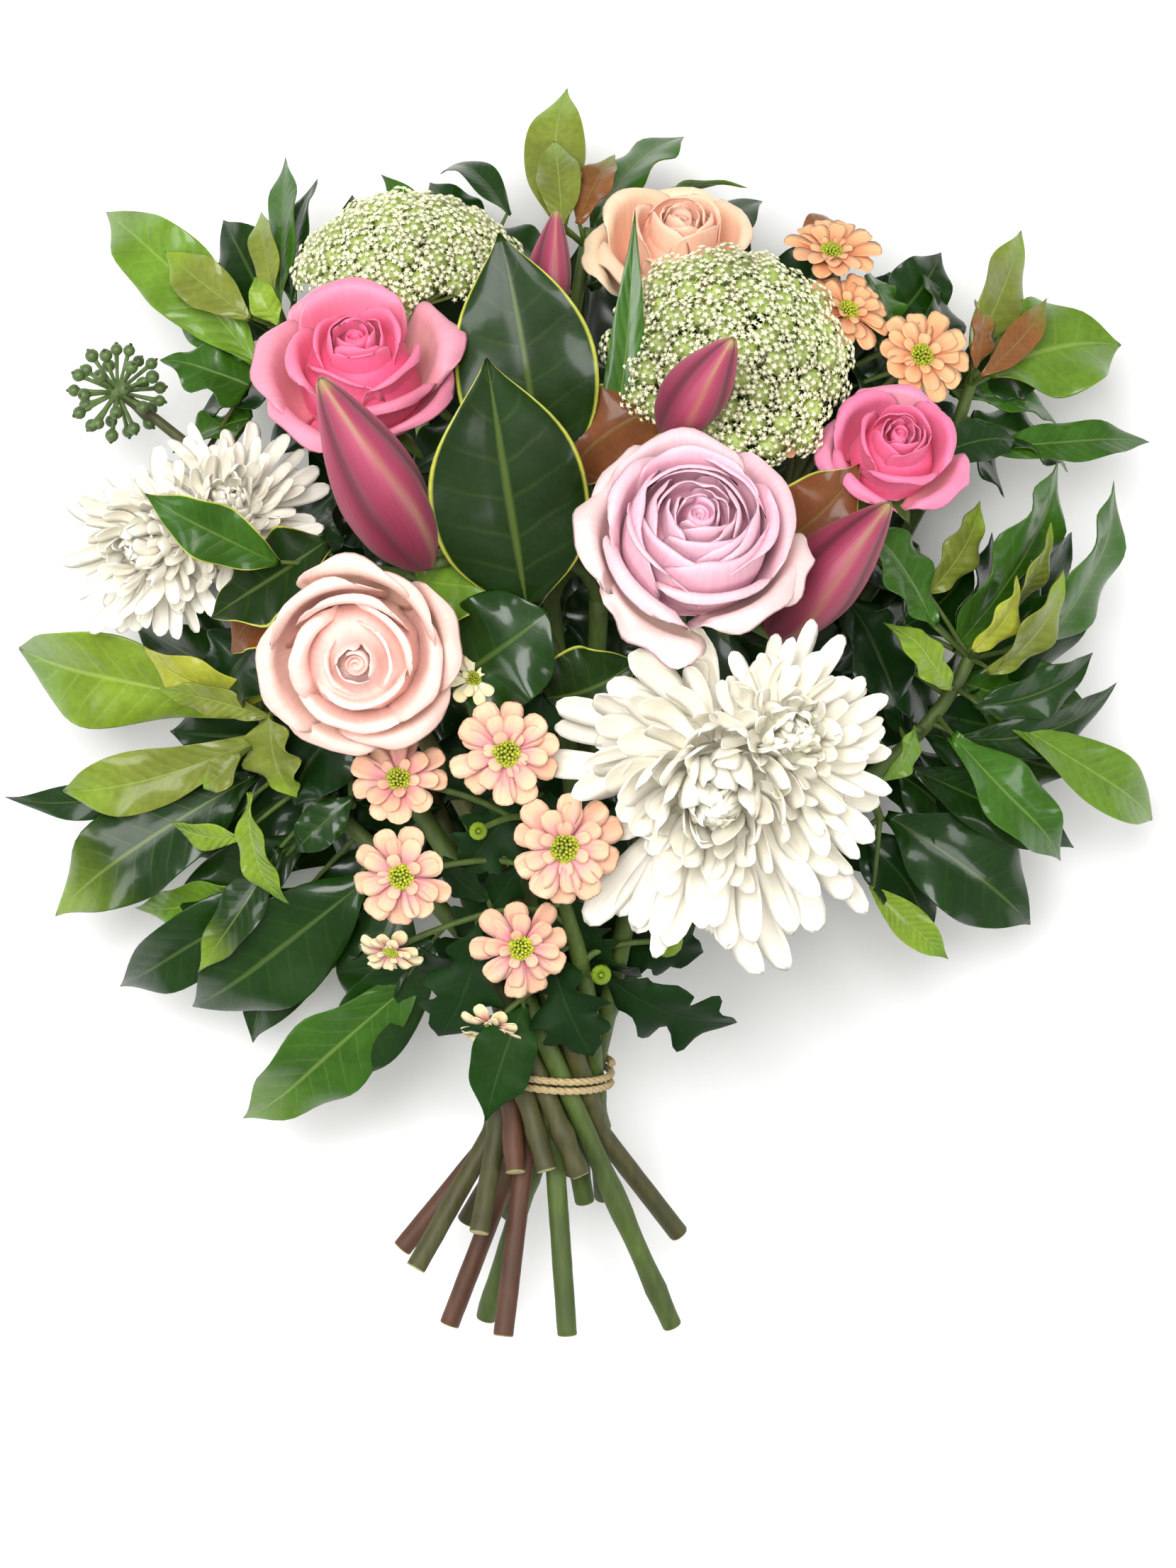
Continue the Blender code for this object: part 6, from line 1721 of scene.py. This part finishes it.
# Stage. Each light gives its place, its size and which strength it has.
LIGHTS = (
    ("key_light", (-0.3, 0.4, 2.3), 1.1, "key"),
    ("right_light", (1.5, -0.6, 1.6), 0.8, "fill"),
    ("left_light", (-1.6, -0.2, 1.5), 0.8, "fill"),
)
FLOOR_REACH = 4
SKY_TINT = (1.0, 0.985, 0.95, 1.0)
SENSOR_HEIGHT = 36.0


# Operators

class BOUQUET_OT_finishes(bpy.types.Operator):
    """Makes the finishes that several pieces share"""

    bl_idname = "bouquet.finishes"
    bl_label = "Shared finishes"

    def execute(self, context):
        for name, (roughness, vein_colour, shine) in LEAF_FINISHES.items():
            leaf_finish(name, roughness, vein_colour, settings().greenery.gloss * shine)
        for name, look in SKIN_FINISHES.items():
            skin_finish(name, *look)
        return {"FINISHED"}


class BOUQUET_OT_roses(bpy.types.Operator):
    """Dresses the five roses and their stems"""

    bl_idname = "bouquet.roses"
    bl_label = "Roses"

    def execute(self, context):
        for k, row in enumerate(ROSES):
            rose_bloom(*row, SEEDS["roses"] + k)
            rose_stem(*row[:4])
        return {"FINISHED"}


class BOUQUET_OT_chrysanthemums(bpy.types.Operator):
    """Dresses the two white chrysanthemums and their stems"""

    bl_idname = "bouquet.chrysanthemums"
    bl_label = "White chrysanthemums"

    def execute(self, context):
        for k, (name, heads) in enumerate(WHITE_HEADS.items()):
            white_chrysanthemum(name, heads, SEEDS["whites"] + k)
        return {"FINISHED"}


class BOUQUET_OT_sprays(bpy.types.Operator):
    """Dresses the peach and apricot spray chrysanthemums"""

    bl_idname = "bouquet.sprays"
    bl_label = "Spray chrysanthemums"

    def execute(self, context):
        for k, (name, row) in enumerate(SPRAY_STEMS.items()):
            spray(name, *row, SEEDS["sprays"] + SPRAYS_APART * k)
        return {"FINISHED"}


class BOUQUET_OT_lilies(bpy.types.Operator):
    """Dresses the lily buds and their stem"""

    bl_idname = "bouquet.lilies"
    bl_label = "Lily buds"

    def execute(self, context):
        for k, row in enumerate(LILY_BUDS):
            lily_bud(*row, SEEDS["lilies"] + k)
        lily_stalks()
        return {"FINISHED"}


class BOUQUET_OT_lace(bpy.types.Operator):
    """Dresses the two lace flowers"""

    bl_idname = "bouquet.lace"
    bl_label = "Lace flowers"

    def execute(self, context):
        for k, row in enumerate(LACE_FLOWERS):
            lace_flower(*row, SEEDS["lace"] + k)
        return {"FINISHED"}


class BOUQUET_OT_foliage(bpy.types.Operator):
    """Dresses the ivy, the magnolia and the mixed foliage"""

    bl_idname = "bouquet.foliage"
    bl_label = "Foliage"

    def execute(self, context):
        ivy()
        for k, row in enumerate(BRANCHES):
            branch(*row, SEEDS["branches"] + BRANCHES_APART * k)
        back_branch()
        return {"FINISHED"}


class BOUQUET_OT_tie(bpy.types.Operator):
    """Dresses the tie round the bundle of stems"""

    bl_idname = "bouquet.tie"
    bl_label = "Tie"

    def execute(self, context):
        tie()
        return {"FINISHED"}


class BOUQUET_OT_stage(bpy.types.Operator):
    """Makes the pale floor, the soft lights and the camera"""

    bl_idname = "bouquet.stage"
    bl_label = "Stage"

    def execute(self, context):
        stage = settings().stage
        mesh = bpy.data.meshes.new("floor")
        corners = [(x * FLOOR_REACH, y * FLOOR_REACH, 0) for x, y in ((-1, -1), (1, -1), (1, 1), (-1, 1))]
        mesh.from_pydata(corners, [], [(0, 1, 2, 3)])
        floor = shown("floor", mesh)
        material = bpy.data.materials.new("floor_paper")
        material.use_nodes = True
        shader = material.node_tree.nodes["Principled BSDF"]
        shader.inputs["Base Color"].default_value = (*linear(stage.floor), 1.0)
        shader.inputs["Roughness"].default_value = 0.9
        mesh.materials.append(material)
        for name, place, size, strength in LIGHTS:
            light = bpy.data.lights.new(name, "AREA")
            light.energy = getattr(stage, strength)
            light.size = size
            lamp = bpy.data.objects.new(name, light)
            lamp.location = place
            lamp.rotation_euler = Vector(place).to_track_quat("Z", "Y").to_euler()
            context.scene.collection.objects.link(lamp)
        world = bpy.data.worlds.new("soft_sky")
        world.use_nodes = True
        background = world.node_tree.nodes["Background"]
        background.inputs["Color"].default_value = SKY_TINT
        background.inputs["Strength"].default_value = stage.sky
        context.scene.world = world
        camera = bpy.data.objects.new("camera", bpy.data.cameras.new("camera"))
        camera.data.sensor_fit = "VERTICAL"
        camera.data.sensor_height = SENSOR_HEIGHT
        camera.data.lens = stage.lens
        camera.location = (SETTLED[0] * MM, SETTLED[1] * MM, stage.eye)
        context.scene.collection.objects.link(camera)
        context.scene.camera = camera
        context.scene.view_settings.view_transform = "Standard"
        return {"FINISHED"}


class BOUQUET_PT_panel(bpy.types.Panel):
    """Lists the steps and the settings of the bouquet"""

    bl_label = "Bouquet"
    bl_idname = "BOUQUET_PT_panel"
    bl_space_type = "VIEW_3D"
    bl_region_type = "UI"
    bl_category = "Bouquet"

    def draw(self, context):
        layout = self.layout
        for operator in OPERATORS:
            layout.operator(operator.bl_idname)
        for part in ("blooms", "greenery", "stems", "stage"):
            group = getattr(settings(), part)
            box = layout.box()
            box.label(text=part.capitalize())
            for name in group.__annotations__:
                box.prop(group, name)


OPERATORS = (BOUQUET_OT_stage, BOUQUET_OT_finishes, BOUQUET_OT_roses, BOUQUET_OT_chrysanthemums,
             BOUQUET_OT_sprays, BOUQUET_OT_lilies, BOUQUET_OT_lace, BOUQUET_OT_foliage, BOUQUET_OT_tie)
CLASSES = (BloomSettings, GreenerySettings, StemSettings, StageSettings, BouquetSettings, *OPERATORS,
           BOUQUET_PT_panel)


def register():
    for kind in CLASSES:
        bpy.utils.register_class(kind)
    bpy.types.Scene.bouquet = bpy.props.PointerProperty(type=BouquetSettings)


def unregister():
    del bpy.types.Scene.bouquet
    for kind in reversed(CLASSES):
        bpy.utils.unregister_class(kind)


def main():
    register()
    for operator in OPERATORS:
        group, name = operator.bl_idname.split(".")
        getattr(getattr(bpy.ops, group), name)()


if __name__ == "__main__":
    main()
